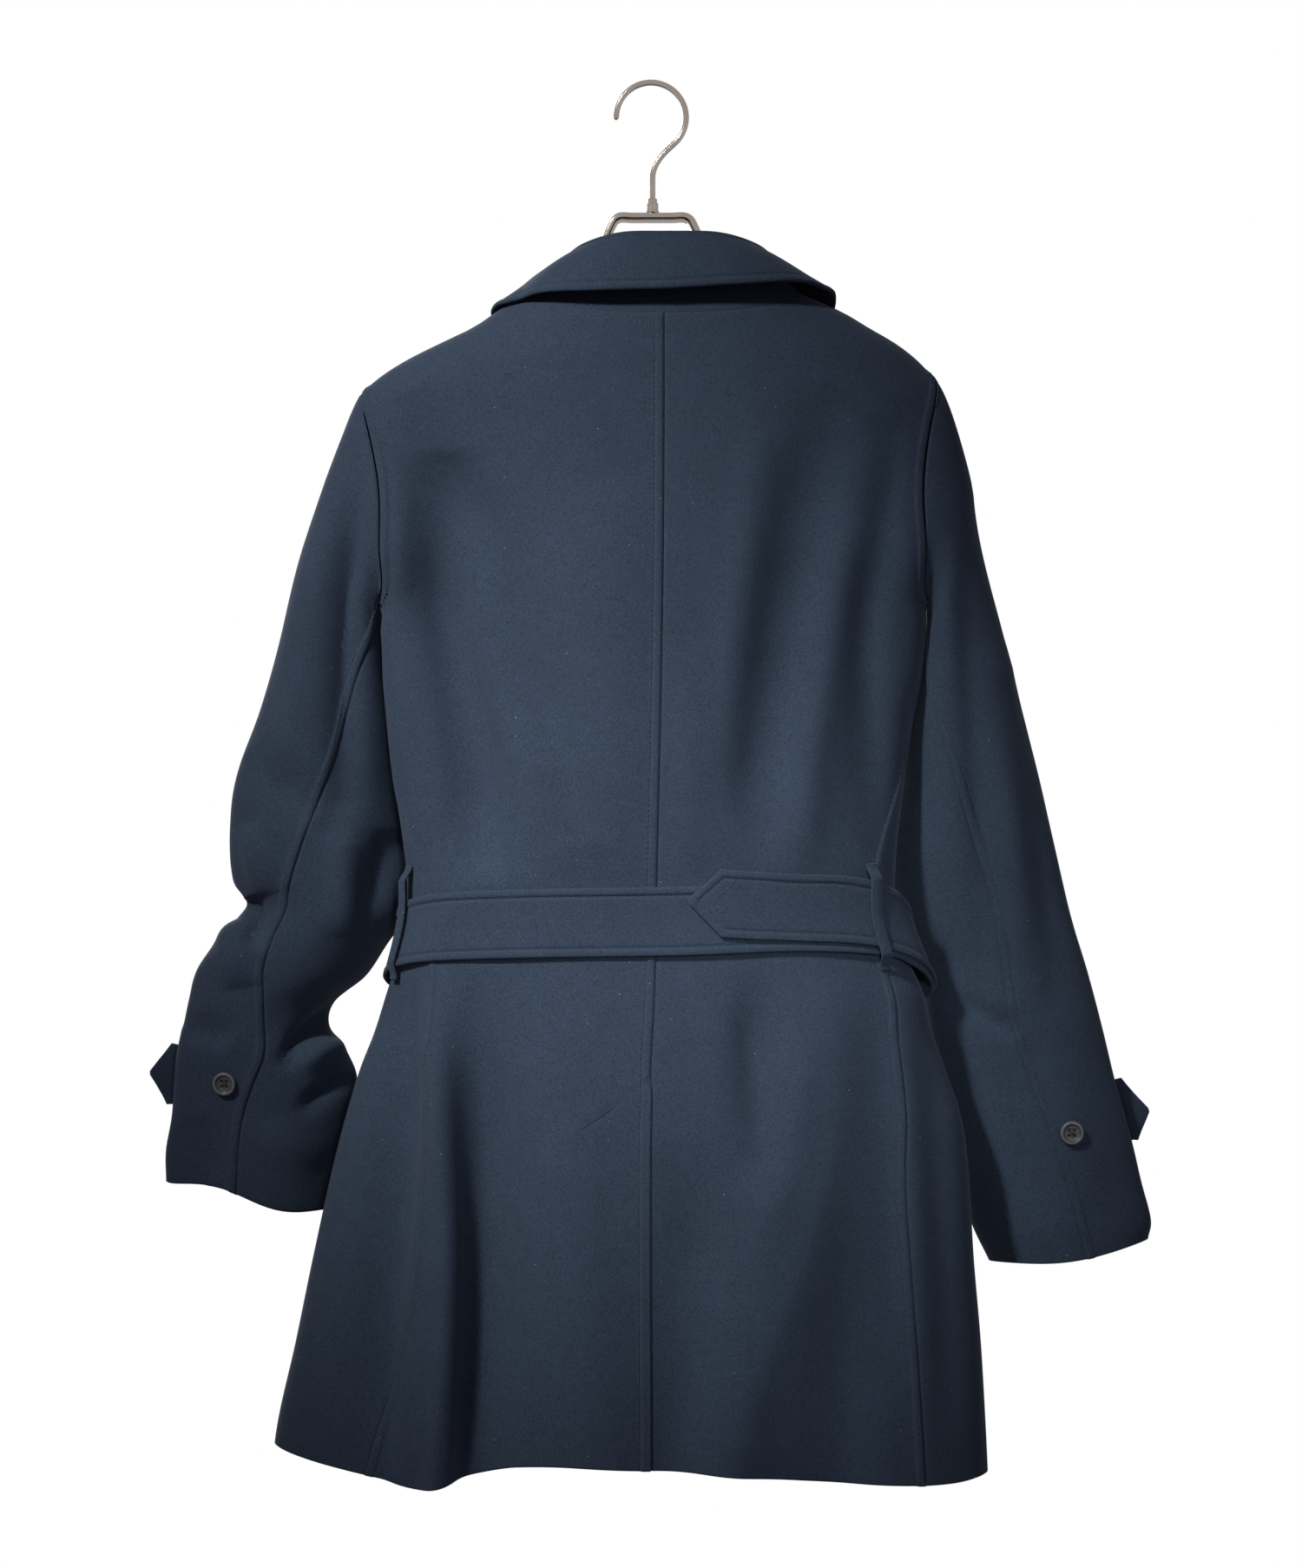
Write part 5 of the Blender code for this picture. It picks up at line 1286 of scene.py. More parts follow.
def cross_thread(centre, frame_axes, radius, thickness):
    """Two crossing threads from hole to hole, each a short arch."""
    side_way, up_way, aim = frame_axes
    lines = []
    for flip in (1, -1):
        t = np.linspace(-1, 1, 13)[:, None]
        arch = thickness * (THREAD_FOOT + THREAD_RISE * (1 - t**4)) + THREAD_OVER * (flip > 0)
        spread_out = (side_way + flip * up_way) * HOLE_PLACE * radius
        path = centre + spread_out * t + aim * arch
        lines.append((path, np.tile(aim, (13, 1))))
    return lines


def find_on_sleeve(side, x, drop):
    """The point of a sleeve's back, and its outward direction, at a place of the back view."""
    share = np.linspace(0.6, 1, 161)[:, None]
    turn = np.linspace(20, 160, 141)[None, :]
    turn, share = np.broadcast_arrays(turn, share)
    points, normal = sleeve_surface(side, turn, share)
    apart = (points[..., 0] - x) ** 2 + (points[..., 2] + drop) ** 2
    i, j = np.unravel_index(np.argmin(apart), apart.shape)
    return points[i, j], normal[i, j]


def build_cuff_button(side, horn, thread):
    point, normal = find_on_sleeve(side, *CUFF_BUTTONS[side])
    centre = point + normal * CUFF_BUTTON_LIFT
    mesh, axes = button_mesh(f"cuff_button_{side}_horn", centre, normal, BUTTON_RADIUS, BUTTON_THICKNESS)
    new_piece(mesh.name, mesh, horn, [f"cuff_button_{side}"])
    crossed = cross_thread(centre, axes, BUTTON_RADIUS, BUTTON_THICKNESS)
    thread_piece(f"cuff_button_{side}_thread", crossed, thread)


def thread_piece(name, lines, thread):
    """Sewing threads as thin round bars, all in one mesh."""
    points, faces, start = [], [], 0
    for path, _ in lines:
        bar = tube("bar", path, BUTTON_THREAD, 8)
        count = len(bar.vertices)
        places = np.empty(count * 3, np.float32)
        bar.vertices.foreach_get("co", places)
        points.append(places.reshape(-1, 3) / MM)
        faces += [[start + v for v in p.vertices] for p in bar.polygons]
        start += count
        bpy.data.meshes.remove(bar)
    mesh = make_mesh(name, np.concatenate(points), faces)
    new_piece(name, mesh, thread)


def build_front_buttons(horn, thread):
    lines = []
    for number, (x, drop) in enumerate(FRONT_BUTTONS, 1):
        angle = angle_at(np.array(x, float), np.array(drop, float), -1)
        normal = body_normal(angle, drop)
        centre = body(angle, drop) + normal * (CLOTH + LAP_GAP + FRONT_BUTTON_LIFT)
        name = f"front_button_{number}"
        size = (FRONT_BUTTON_RADIUS, FRONT_BUTTON_THICKNESS)
        mesh, axes = button_mesh(name + "_horn", centre, normal, *size)
        new_piece(mesh.name, mesh, horn, [name])
        lines += cross_thread(centre, axes, *size)
    thread_piece("front_button_thread", lines, thread)


def build_buckle(horn):
    """A round bar carried round a rectangle with rounded corners."""
    width, height = BUCKLE_SIZE
    drop = float(read(BELT_LINE, BELT_COLUMNS, "drop", 180.0))
    ground = body(180.0, drop)
    on_belt = BELT_LINE[-1][2] + BELT_END_LINE[-1][2] + 2 * BELT_CLOTH
    y = ground[1] + on_belt + BUCKLE_REST + BUCKLE_BAR / 2
    turn = np.radians(np.arange(0, 360, 7.5))
    reach = np.array([width, height]) / 2 - BUCKLE_CORNER
    corner_x = np.where(np.cos(turn) >= 0, 1, -1) * reach[0]
    corner_z = np.where(np.sin(turn) >= 0, 1, -1) * reach[1]
    x = ground[0] + corner_x + BUCKLE_CORNER * np.cos(turn)
    z = -drop + corner_z + BUCKLE_CORNER * np.sin(turn)
    ring = np.stack([x, np.full_like(x, y), z], axis=1)
    mesh = tube("belt_buckle_frame", ring, BUCKLE_BAR / 2, 16, closed=True)
    new_piece(mesh.name, mesh, horn, ["belt_buckle"])


def hook_path():
    """The hook's middle line: an arc over the rail, a cubic bend back to the centre, and the stem."""
    across, drop = HOOK_CENTRE
    turn = np.radians(np.linspace(*HOOK_TURNS, 78))
    arc = np.stack([across + HOOK_RADIUS * np.cos(turn), HOOK_RADIUS * np.sin(turn) - drop], axis=-1)
    start = arc[-1]
    lead = start + np.array([math.sin(turn[-1]), -math.cos(turn[-1])]) * HOOK_PULLS[0]
    end = np.array([HOOK_FOOT[0], -HOOK_FOOT[1]])
    arrive = end + np.array([0.0, HOOK_PULLS[1]])
    t = np.linspace(0, 1, 40)[1:, None]
    bend = start * (1 - t) ** 3 + lead * 3 * t * (1 - t) ** 2 + arrive * 3 * t * t * (1 - t) + end * t**3
    stem_drop = np.linspace(HOOK_FOOT[1], FERRULE[1] + STEM_DEPTH, 9)[1:]
    stem = np.stack([np.full(8, HOOK_FOOT[0]), -stem_drop], axis=-1)
    path = np.concatenate([arc, bend, stem])
    return np.stack([path[:, 0], 0 * path[:, 0], path[:, 1]], axis=-1)


def build_hook(metal):
    path = hook_path()
    radius = np.full(len(path), HOOK_WIRE / 2)
    tip = np.linalg.norm(path - path[0], axis=1)
    radius = radius * np.sqrt(np.clip(1 - (1 - np.clip(tip / HOOK_TIP, 0, 1)) ** 2, 0.12, 1))
    mesh = tube("hanger_hook_wire", path, radius, 28)
    new_piece(mesh.name, mesh, metal, ["hanger_hook"])


def build_ferrule(metal):
    """A turned sleeve: a closed profile of radius and drop carried round the hook's stem."""
    width, top, foot = FERRULE
    r, inner = width / 2, HOOK_WIRE / 2 + FERRULE_GAP
    neck, rim = r * 0.8, r * 1.12
    profile = (
        (inner, top),
        (r * 0.66, top),
        (neck, top + 0.5),
        (neck, top + 3),
        (r, top + 4),
        (r, foot - 1.6),
        (rim, foot - 1.2),
        (rim, foot - 0.2),
        (inner, foot - 0.1),
    )
    profile = np.array(profile)
    turn = np.linspace(0, 2 * math.pi, 40, endpoint=False)[None, :]
    x, y = HOOK_FOOT[0] + profile[:, :1] * np.cos(turn), profile[:, :1] * np.sin(turn)
    points = np.stack([x, y, np.broadcast_to(-profile[:, 1:], x.shape)], axis=-1)
    closed = np.concatenate([points, points[:1]])
    faces = quads(len(closed), 40, closed=True) % (len(points) * 40)
    mesh = make_mesh("hanger_ferrule_turned", points.reshape(-1, 3), faces.tolist())
    mesh.set_sharp_from_angle(angle=math.radians(35))
    new_piece(mesh.name, mesh, metal, ["hanger_ferrule"])


def shoulder_inside(x):
    drop = np.linspace(NECK_SIDE_DROP, 232, 200)
    side = "left" if x < 0 else "right"
    edge = read(BODY_SECTIONS, BODY_COLUMNS, side, drop)
    return float(np.interp(abs(x), np.abs(edge), drop))


def frame_path():
    """Level at the top, down inside the collar, and out under both shoulders."""
    points = []
    inward = CLOTH + SHOULDER_REST + FRAME_HALF_HEIGHT
    for side in (-1, 1):
        arm = [(side * x + FRAME_CENTRE, drop) for x, drop in FRAME_ARM]
        arm.insert(0, (side * FRAME_ARM[0][0] * 0.6 + FRAME_CENTRE, FRAME_ARM[0][1]))
        for x in FRAME_SHOULDER[:-1] + (FRAME_SHOULDER[-1] - 1,):
            ridge = shoulder_inside(side * x)
            tilt = math.atan((shoulder_inside(side * (x + 4)) - shoulder_inside(side * (x - 4))) / 8)
            arm.append((side * (x - inward * math.sin(tilt)), ridge + inward * math.cos(tilt)))
        points = (arm[::-1] + points) if side < 0 else (points + arm)
    return np.array([(x, 0.0, -drop) for x, drop in points])


def build_hanger_frame(metal):
    """A flat bar with rounded edges: a squared ellipse stands across the frame's path."""
    path = line_through(frame_path(), 220)
    along = unit(np.gradient(path, axis=0))
    up = unit(np.cross(along, np.array([0.0, 1.0, 0.0])))
    turn = np.linspace(0, 2 * math.pi, 32, endpoint=False)[None, :, None]
    tall = np.sign(np.cos(turn)) * np.abs(np.cos(turn)) ** FRAME_SQUARENESS * FRAME_HALF_HEIGHT * FRAME_FIT
    deep = np.sign(np.sin(turn)) * np.abs(np.sin(turn)) ** FRAME_SQUARENESS * FRAME_HALF_DEPTH * FRAME_FIT
    rings = path[:, None] + up[:, None] * tall + np.array([0.0, 1.0, 0.0]) * deep
    faces = quads(len(path), 32, closed=True).tolist()
    faces.append(list(range(32))[::-1])
    faces.append(list(range((len(path) - 1) * 32, len(path) * 32)))
    mesh = make_mesh("hanger_frame_bar", rings.reshape(-1, 3), faces)
    mesh.set_sharp_from_angle(angle=math.radians(60))
    new_piece(mesh.name, mesh, metal, ["hanger_frame"])


def socket(group, name, kind, into, value=None):
    made = group.interface.new_socket(name=name, in_out="INPUT" if into else "OUTPUT", socket_type=kind)
    if value is not None:
        made.default_value = value
    return made


def mix_colours(nodes, links, factor, a, b, blend="MIX"):
    node = nodes.new("ShaderNodeMix")
    node.data_type = "RGBA"
    node.blend_type = blend
    for slot_in, value in zip((node.inputs[0], node.inputs[6], node.inputs[7]), (factor, a, b)):
        if isinstance(value, (int, float, tuple)):
            slot_in.default_value = value
        else:
            links.new(value, slot_in)
    return node.outputs[2]


def wool_group():
    """Felted wool: fibre clumps over a finer fuzz, slow mottling, and rare pale specks of lint. The clumps'
    tone differs at random and, since it follows their bump, also paints shade in the hollows and light on
    the raised tops.
    """
    if "felted wool" in bpy.data.node_groups:
        return bpy.data.node_groups["felted wool"]
    group = bpy.data.node_groups.new("felted wool", "ShaderNodeTree")
    socket(group, "Vector", "NodeSocketVector", True)
    socket(group, "Hollow Shaded Colour", "NodeSocketColor", True)
    socket(group, "Raised Lit Colour", "NodeSocketColor", True)
    socket(group, "Clump Scale", "NodeSocketFloat", True, 800.0)
    socket(group, "Lint", "NodeSocketFloat", True, 1.0)
    socket(group, "Colour", "NodeSocketColor", False)
    socket(group, "Height", "NodeSocketFloat", False)
    socket(group, "Roughness", "NodeSocketFloat", False)
    nodes, links = group.nodes, group.links
    into, out = nodes.new("NodeGroupInput"), nodes.new("NodeGroupOutput")

    def noise(scale_from, factor, detail, roughness, distortion=0.0):
        node = nodes.new("ShaderNodeTexNoise")
        node.inputs["Detail"].default_value = detail
        node.inputs["Roughness"].default_value = roughness
        node.inputs["Distortion"].default_value = distortion
        links.new(into.outputs["Vector"], node.inputs["Vector"])
        if scale_from is None:
            node.inputs["Scale"].default_value = factor
        else:
            links.new(math_node("MULTIPLY", scale_from, factor), node.inputs["Scale"])
        return node.outputs["Fac"]

    def math_node(operation, a, b, clamp=False):
        node = nodes.new("ShaderNodeMath")
        node.operation = operation
        node.use_clamp = clamp
        for slot_in, value in zip(node.inputs, (a, b)):
            if isinstance(value, (int, float)):
                slot_in.default_value = value
            else:
                links.new(value, slot_in)
        return node.outputs[0]

    def mix(factor, a, b, blend="MIX"):
        return mix_colours(nodes, links, factor, a, b, blend)

    clump = noise(into.outputs["Clump Scale"], 1.0, 3.0, 0.62, 0.4)
    fuzz = noise(into.outputs["Clump Scale"], 2.7, 2.0, 0.7)
    mottle = noise(None, 70.0, 3.0, 0.55)
    slow = noise(None, 9.0, 2.0, 0.5)
    both = math_node("ADD", math_node("MULTIPLY", clump, 0.6), math_node("MULTIPLY", fuzz, 0.4))
    contrast = math_node("ADD", math_node("MULTIPLY", math_node("SUBTRACT", both, 0.5), 3.4), 0.5, True)
    shade = math_node("ADD", math_node("MULTIPLY", mottle, 0.22), math_node("MULTIPLY", slow, 0.26))
    grey = nodes.new("ShaderNodeCombineColor")
    level = math_node("ADD", shade, 0.76)
    for k in range(3):
        links.new(level, grey.inputs[k])
    # painted shade and light: a darker and a paler copy of the wool colour, picked by the bump's height, so
    # the nap's hollows look shaded and its tops lit
    wool = mix(contrast, into.outputs["Hollow Shaded Colour"], into.outputs["Raised Lit Colour"])
    wool = mix(1.0, wool, grey.outputs[0], "MULTIPLY")
    speck = nodes.new("ShaderNodeTexVoronoi")
    speck.inputs["Scale"].default_value = 130.0
    links.new(into.outputs["Vector"], speck.inputs["Vector"])
    separate = nodes.new("ShaderNodeSeparateColor")
    links.new(speck.outputs["Color"], separate.inputs[0])
    rare = math_node("GREATER_THAN", separate.outputs[0], 0.9)
    near = math_node("LESS_THAN", speck.outputs["Distance"], 0.055)
    lint = math_node("MULTIPLY", math_node("MULTIPLY", rare, near), into.outputs["Lint"])
    wool = mix(math_node("MULTIPLY", lint, 0.55), wool, (0.42, 0.45, 0.5, 1.0))
    links.new(wool, out.inputs["Colour"])
    links.new(both, out.inputs["Height"])
    links.new(math_node("ADD", math_node("MULTIPLY", clump, 0.12), 0.86), out.inputs["Roughness"])
    return group


def new_material(name):
    material = bpy.data.materials.new(name)
    material.use_nodes = True
    tree = material.node_tree
    return material, tree.nodes, tree.links, tree.nodes["Principled BSDF"]


def grain_noise(nodes, links, **settings):
    """Noise in the piece's own space."""
    place = nodes.new("ShaderNodeTexCoord")
    node = nodes.new("ShaderNodeTexNoise")
    for key, value in settings.items():
        node.inputs[key].default_value = value
    links.new(place.outputs["Object"], node.inputs["Vector"])
    return node.outputs["Fac"]


def two_colours(nodes, links, value, dark, light, ends=(0.0, 1.0)):
    """From the dark colour to the light one as the value goes from one end to the other."""
    node = nodes.new("ShaderNodeValToRGB")
    for element, position, colour in zip(node.color_ramp.elements, ends, (dark, light)):
        element.position = position
        element.color = (*colour, 1)
    links.new(value, node.inputs["Fac"])
    return node.outputs["Color"]


def roughen(nodes, links, shader, value, least, most):
    """The shader's roughness goes from least to most with the value."""
    node = nodes.new("ShaderNodeMapRange")
    node.inputs["To Min"].default_value = least
    node.inputs["To Max"].default_value = most
    links.new(value, node.inputs["Value"])
    links.new(node.outputs["Result"], shader.inputs["Roughness"])


def raise_grain(nodes, links, shader, height, strength, distance):
    """The height, up to a distance in metres, tilts the shader's normal."""
    bump = nodes.new("ShaderNodeBump")
    bump.inputs["Strength"].default_value = strength
    bump.inputs["Distance"].default_value = distance
    links.new(height, bump.inputs["Height"])
    links.new(bump.outputs["Normal"], shader.inputs["Normal"])


def wool_material(name, props):
    material, nodes, links, shader = new_material(name)
    place = nodes.new("ShaderNodeTexCoord")
    nap = nodes.new("ShaderNodeGroup")
    nap.node_tree = wool_group()
    # the nap's shaded and lit copies of the wool colour: painted shade in its hollows, painted light on its
    # raised tops
    deep = np.array(props.wool_colour)
    nap.inputs["Hollow Shaded Colour"].default_value = (*(deep * 0.62), 1)
    nap.inputs["Raised Lit Colour"].default_value = (*(deep * 1.5), 1)
    nap.inputs["Clump Scale"].default_value = 1 / props.clump_size
    links.new(place.outputs["Object"], nap.inputs["Vector"])
    raise_grain(nodes, links, shader, nap.outputs["Height"], 0.5, 0.0007)
    links.new(nap.outputs["Colour"], shader.inputs["Base Color"])
    links.new(nap.outputs["Roughness"], shader.inputs["Roughness"])
    shader.inputs["Specular IOR Level"].default_value = 0.25
    shader.inputs["Sheen Weight"].default_value = 0.12
    shader.inputs["Sheen Roughness"].default_value = 0.45
    shader.inputs["Sheen Tint"].default_value = (0.55, 0.62, 0.75, 1)
    return material


def thread_material(name, props):
    material, nodes, links, shader = new_material(name)
    twist = grain_noise(nodes, links, Scale=2600.0)
    colour = np.array(props.wool_colour)
    twisted = two_colours(nodes, links, twist, colour * 0.45, colour * 1.2)
    links.new(twisted, shader.inputs["Base Color"])
    shader.inputs["Roughness"].default_value = 0.6
    return material


def horn_material(name, props):
    """Streaked horn, paler on the button's raised rim, where the mesh's rim value is high."""
    material, nodes, links, shader = new_material(name)
    grain = grain_noise(nodes, links, Scale=420.0, Detail=4.0, Distortion=1.4)
    rim = nodes.new("ShaderNodeAttribute")
    rim.attribute_name = "rim"
    colour = np.array(props.button_colour)
    base = two_colours(nodes, links, grain, colour * 0.55, colour * 1.35, (0.3, 0.75))
    rimmed = mix_colours(nodes, links, rim.outputs["Fac"], base, (*(colour * 2.3), 1))
    links.new(rimmed, shader.inputs["Base Color"])
    roughen(nodes, links, shader, grain, 0.26, 0.46)
    raise_grain(nodes, links, shader, grain, 0.12, 0.0002)
    return material


def metal_material(name, props):
    material, nodes, links, shader = new_material(name)
    smear = grain_noise(nodes, links, Scale=90.0, Detail=4.0)
    roughen(nodes, links, shader, smear, 0.10, 0.24)
    colour = np.array(props.metal_colour)
    tint = two_colours(nodes, links, smear, colour * 0.86, np.minimum(colour * 1.08, 1))
    links.new(tint, shader.inputs["Base Color"])
    shader.inputs["Metallic"].default_value = 1.0
    raise_grain(nodes, links, shader, smear, 0.05, 0.0003)
    return material


def finish(name, make, props):
    """A material by its name, made by its function the first time it is asked for."""
    return bpy.data.materials.get(name) or make(name, props)


def wool(props):
    return finish("navy felted wool", wool_material, props)


def thread(props):
    return finish("navy sewing thread", thread_material, props)


def horn(props):
    return finish("dark grey horn", horn_material, props)


def metal(props):
    return finish("warm polished metal", metal_material, props)


class CoatProperties(bpy.types.PropertyGroup):
    """Colours and sizes of the coat's cloth and trimmings."""

    wool_colour: FloatVectorProperty(
        name="Wool colour",
        description="Mean colour of the felted wool",
        default=(0.0305, 0.0455, 0.0735),
        subtype="COLOR",
        min=0,
        max=1,
    )
    clump_size: FloatProperty(
        name="Fibre clumps",
        description="Size of the wool's smallest visible clumps",
        default=0.0014,
        min=0.0004,
        max=0.005,
        unit="LENGTH",
    )
    button_colour: FloatVectorProperty(
        name="Button colour",
        description="Colour of the buttons and the buckle",
        default=(0.055, 0.056, 0.060),
        subtype="COLOR",
        min=0,
        max=1,
    )
    metal_colour: FloatVectorProperty(
        name="Metal colour",
        description="Tint of the hanger's metal",
        default=(0.70, 0.60, 0.53),
        subtype="COLOR",
        min=0,
        max=1,
    )


class StageProperties(bpy.types.PropertyGroup):
    """The camera's place and the strength of the lights."""

    camera_distance: FloatProperty(
        name="Camera distance",
        description="From the coat to the camera",
        default=3.0,
        min=1,
        max=10,
        unit="LENGTH",
    )
    view_height: FloatProperty(
        name="View height",
        description="Height that the picture takes in at the coat",
        default=1.18,
        min=0.5,
        max=3,
        unit="LENGTH",
    )
    key_power: FloatProperty(
        name="Key light",
        description="Power of the light from the upper left",
        default=480.0,
        min=0,
        unit="POWER",
    )
    front_power: FloatProperty(
        name="Front light",
        description="Power of the light beside the camera",
        default=150.0,
        min=0,
        unit="POWER",
    )
    fill_power: FloatProperty(
        name="Fill light",
        description="Power of the light from the right",
        default=1.0,
        min=0,
        unit="POWER",
    )
    back_power: FloatProperty(
        name="Back light",
        description="Power of the light on the coat's far side",
        default=45.0,
        min=0,
        unit="POWER",
    )
    ambient: FloatProperty(
        name="Ambient light",
        description="Strength of the light from all round",
        default=0.05,
        min=0,
        max=2,
    )


def aimed_light(name, kind, place, aim, power, colour):
    """A light that looks from its place to its aim."""
    light = bpy.data.lights.new(name, kind)
    light.energy = power
    light.color = colour
    obj = bpy.data.objects.new(name, light)
    obj.location = place
    obj.rotation_euler = (Vector(aim) - Vector(place)).to_track_quat("-Z", "Y").to_euler()
    bpy.context.scene.collection.objects.link(obj)
    return obj


def spot_light(name, place, aim, power, cone, narrow=1.0):
    """A soft spot, whose light falls off from its middle to the rim of its cone."""
    obj = aimed_light(name, "SPOT", place, aim, power, KEY_COLOUR)
    obj.data.spot_size = math.radians(cone)
    obj.data.spot_blend = 1.0
    obj.data.shadow_soft_size = KEY_RADIUS
    obj.scale = (narrow, 1.0, 1.0)


def area_light(name, place, aim, size, power, colour=(1, 1, 1)):
    obj = aimed_light(name, "AREA", place, aim, power, colour)
    obj.data.shape = "SQUARE"
    obj.data.size = size


def build_stage(props):
    """Camera level with the coat's middle, soft lights, white surroundings, and a pale round floor."""
    scene = bpy.context.scene
    camera = bpy.data.cameras.new("coat camera")
    camera.sensor_fit = "VERTICAL"
    camera.sensor_height = 24.0
    camera.lens = camera.sensor_height * props.camera_distance / props.view_height
    camera.clip_end = 50
    obj = bpy.data.objects.new("coat camera", camera)
    obj.location = (VIEW_CENTRE[0] * MM, -props.camera_distance, -VIEW_CENTRE[1] * MM)
    obj.rotation_euler = (math.radians(90), 0, 0)
    scene.collection.objects.link(obj)
    scene.camera = obj
    spot_light("key light", KEY_PLACE, KEY_AIM, props.key_power, KEY_CONE, KEY_NARROW)
    spot_light("front light", FRONT_PLACE, FRONT_AIM, props.front_power, FRONT_CONE)
    area_light("fill light", FILL_PLACE, COAT_MIDDLE, FILL_SIZE, props.fill_power, FILL_COLOUR)
    area_light("back light", BACK_PLACE, COAT_MIDDLE, BACK_SIZE, props.back_power)
    world = bpy.data.worlds.new("white studio")
    world.use_nodes = True
    nodes, links = world.node_tree.nodes, world.node_tree.links
    background = nodes["Background"]
    path = nodes.new("ShaderNodeLightPath")
    soft = tuple(props.ambient * c for c in AMBIENT_TINT)
    glossy = mix_colours(nodes, links, path.outputs["Is Glossy Ray"], soft, MIRRORED)
    seen = mix_colours(nodes, links, path.outputs["Is Camera Ray"], glossy, (1.0, 1.0, 1.0, 1.0))
    links.new(seen, background.inputs["Color"])
    scene.world = world
    scene.view_settings.view_transform = "Standard"
    floor_disc()


def floor_disc():
    """The floor is a disc that fades out at its rim, and that isn't seen from below."""
    rings, sides = 24, 96
    turn = np.linspace(0, 2 * math.pi, sides, endpoint=False)[None, :]
    radius = np.linspace(FLOOR_MIDDLE, FLOOR_RADIUS, rings)[:, None]
    height = np.full((rings, sides), FLOOR_HEIGHT)
    points = np.stack([radius * np.cos(turn), radius * np.sin(turn), height], axis=-1)
    mesh = bpy.data.meshes.new("studio_floor")
    faces = quads(rings, sides, closed=True)[:, ::-1].tolist() + [list(range(sides))]
    mesh.from_pydata(points.reshape(-1, 3).tolist(), [], faces)
    obj = bpy.data.objects.new("studio_floor", mesh)
    bpy.context.scene.collection.objects.link(obj)
    material, nodes, links, shader = new_material("pale floor")
    shader.inputs["Base Color"].default_value = (0.86, 0.86, 0.85, 1)
    shader.inputs["Roughness"].default_value = 0.8
    shader.inputs["Emission Color"].default_value = (1.0, 1.0, 1.0, 1)
    path = nodes.new("ShaderNodeLightPath")
    glow = nodes.new("ShaderNodeMath")
    glow.operation = "MULTIPLY"
    glow.inputs[1].default_value = FLOOR_GLOW
    links.new(path.outputs["Is Camera Ray"], glow.inputs[0])
    links.new(glow.outputs["Value"], shader.inputs["Emission Strength"])
    place = nodes.new("ShaderNodeTexCoord")
    length = nodes.new("ShaderNodeVectorMath")
    length.operation = "LENGTH"
    flat = nodes.new("ShaderNodeVectorMath")
    flat.operation = "MULTIPLY"
    flat.inputs[1].default_value = (1, 1, 0)
    links.new(place.outputs["Object"], flat.inputs[0])
    links.new(flat.outputs["Vector"], length.inputs[0])
    fade = nodes.new("ShaderNodeMapRange")
    fade.inputs["From Min"].default_value = FLOOR_FADE[0]
    fade.inputs["From Max"].default_value = FLOOR_FADE[1]
    fade.inputs["To Min"].default_value = 1.0
    fade.inputs["To Max"].default_value = 0.0
    links.new(length.outputs["Value"], fade.inputs["Value"])
    side = nodes.new("ShaderNodeNewGeometry")
    above = nodes.new("ShaderNodeMath")
    above.operation = "SUBTRACT"
    above.use_clamp = True
    links.new(fade.outputs["Result"], above.inputs[0])
    links.new(side.outputs["Backfacing"], above.inputs[1])
    links.new(above.outputs["Value"], shader.inputs["Alpha"])
    mesh.materials.append(material)


STITCHES = []


class CoatOperator:
    """What the coat's operators share: each builds its pieces and keeps the seams to be stitched."""

    bl_options = {"REGISTER", "UNDO"}

    def execute(self, context):
        self.build(context.scene.coat)
        return {"FINISHED"}


class COAT_OT_panels(CoatOperator, bpy.types.Operator):
    """Build the back and front panels and the vent's underlap"""

    bl_idname = "coat.panels"
    bl_label = "Panels"

    def build(self, props):
        for side in ("left", "right"):
            STITCHES.extend(build_back_panel(side, wool(props)))
            STITCHES.extend(build_front_panel(side, wool(props)))
        build_vent_underlap(wool(props))


class COAT_OT_sleeves(CoatOperator, bpy.types.Operator):
    """Build the sleeves from their top and under pieces"""

    bl_idname = "coat.sleeves"
    bl_label = "Sleeves"

    def build(self, props):
        for side in ("left", "right"):
            for top in (True, False):
                STITCHES.extend(build_sleeve_piece(side, top, wool(props)))


class COAT_OT_collar(CoatOperator, bpy.types.Operator):
    """Build the collar's stand and its turned-down fall"""

    bl_idname = "coat.collar"
    bl_label = "Collar"

    def build(self, props):
        STITCHES.extend(build_collar_fall(wool(props)))
        build_collar_stand(wool(props))


class COAT_OT_belt(CoatOperator, bpy.types.Operator):
    """Build the belt, its free end, its loops and its buckle"""

    bl_idname = "coat.belt"
    bl_label = "Belt"

    def build(self, props):
        STITCHES.extend(build_belt(wool(props)))
        STITCHES.extend(build_belt_end(wool(props)))
        for side in ("left", "right"):
            build_belt_loop(side, wool(props))
        build_buckle(horn(props))


class COAT_OT_cuffs(CoatOperator, bpy.types.Operator):
    """Build the cuffs' tabs and buttons"""

    bl_idname = "coat.cuffs"
    bl_label = "Cuffs"

    def build(self, props):
        for side in ("left", "right"):
            STITCHES.extend(build_cuff_tab(side, wool(props)))
            build_cuff_button(side, horn(props), thread(props))


class COAT_OT_buttons(CoatOperator, bpy.types.Operator):
    """Build the buttons of the front"""

    bl_idname = "coat.buttons"
    bl_label = "Front buttons"

    def build(self, props):
        build_front_buttons(horn(props), thread(props))


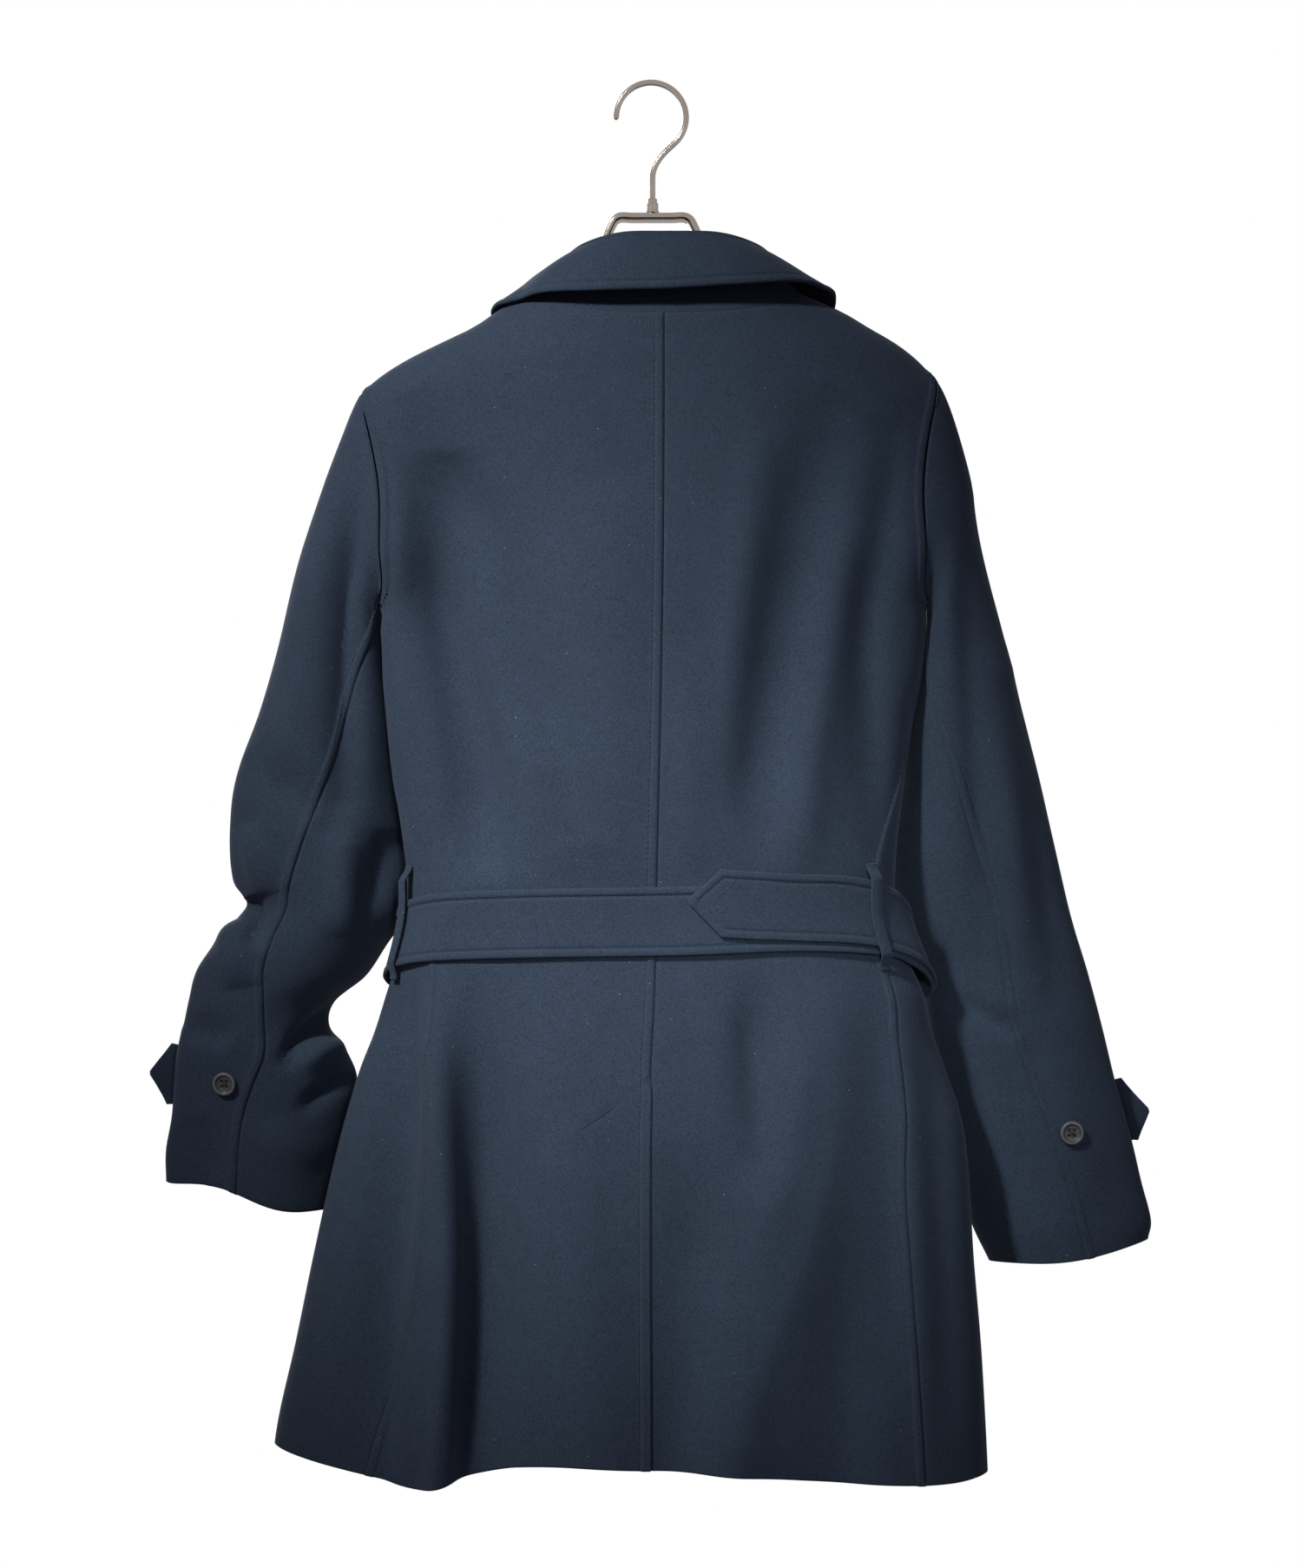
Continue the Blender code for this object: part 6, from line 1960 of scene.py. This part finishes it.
class COAT_OT_stitches(CoatOperator, bpy.types.Operator):
    """Sew the topstitching along the seams that the other operators left"""

    bl_idname = "coat.stitches"
    bl_label = "Topstitching"

    def build(self, props):
        stitches_piece("topstitching", STITCHES, thread(props))


class COAT_OT_hanger(CoatOperator, bpy.types.Operator):
    """Build the hanger's hook, ferrule and frame"""

    bl_idname = "coat.hanger"
    bl_label = "Hanger"

    def build(self, props):
        build_hook(metal(props))
        build_ferrule(metal(props))
        build_hanger_frame(metal(props))


class COAT_OT_stage(bpy.types.Operator):
    """Set the camera, the lights, the white surroundings and the floor"""

    bl_idname = "coat.stage"
    bl_label = "Stage"

    def execute(self, context):
        build_stage(context.scene.coat_stage)
        return {"FINISHED"}


class COAT_PT_panel(bpy.types.Panel):
    """The coat's sizes and colours, and its pieces in the order in which they are made"""

    bl_idname = "COAT_PT_panel"
    bl_label = "Belted coat"
    bl_space_type = "VIEW_3D"
    bl_region_type = "UI"
    bl_category = "Coat"

    def draw(self, context):
        for group in (context.scene.coat, context.scene.coat_stage):
            for name in group.__annotations__:
                self.layout.prop(group, name)
        for operator in OPERATORS:
            self.layout.operator(operator.bl_idname)


OPERATORS = (
    COAT_OT_panels,
    COAT_OT_sleeves,
    COAT_OT_collar,
    COAT_OT_belt,
    COAT_OT_cuffs,
    COAT_OT_buttons,
    COAT_OT_stitches,
    COAT_OT_hanger,
    COAT_OT_stage,
)
CLASSES = (CoatProperties, StageProperties, *OPERATORS, COAT_PT_panel)


def register():
    for item in CLASSES:
        bpy.utils.register_class(item)
    bpy.types.Scene.coat = PointerProperty(type=CoatProperties)
    bpy.types.Scene.coat_stage = PointerProperty(type=StageProperties)


def unregister():
    del bpy.types.Scene.coat_stage
    del bpy.types.Scene.coat
    for item in reversed(CLASSES):
        bpy.utils.unregister_class(item)


def main():
    register()
    bpy.ops.coat.panels()
    bpy.ops.coat.sleeves()
    bpy.ops.coat.collar()
    bpy.ops.coat.belt()
    bpy.ops.coat.cuffs()
    bpy.ops.coat.buttons()
    bpy.ops.coat.stitches()
    bpy.ops.coat.hanger()
    bpy.ops.coat.stage()


if __name__ == "__main__":
    main()
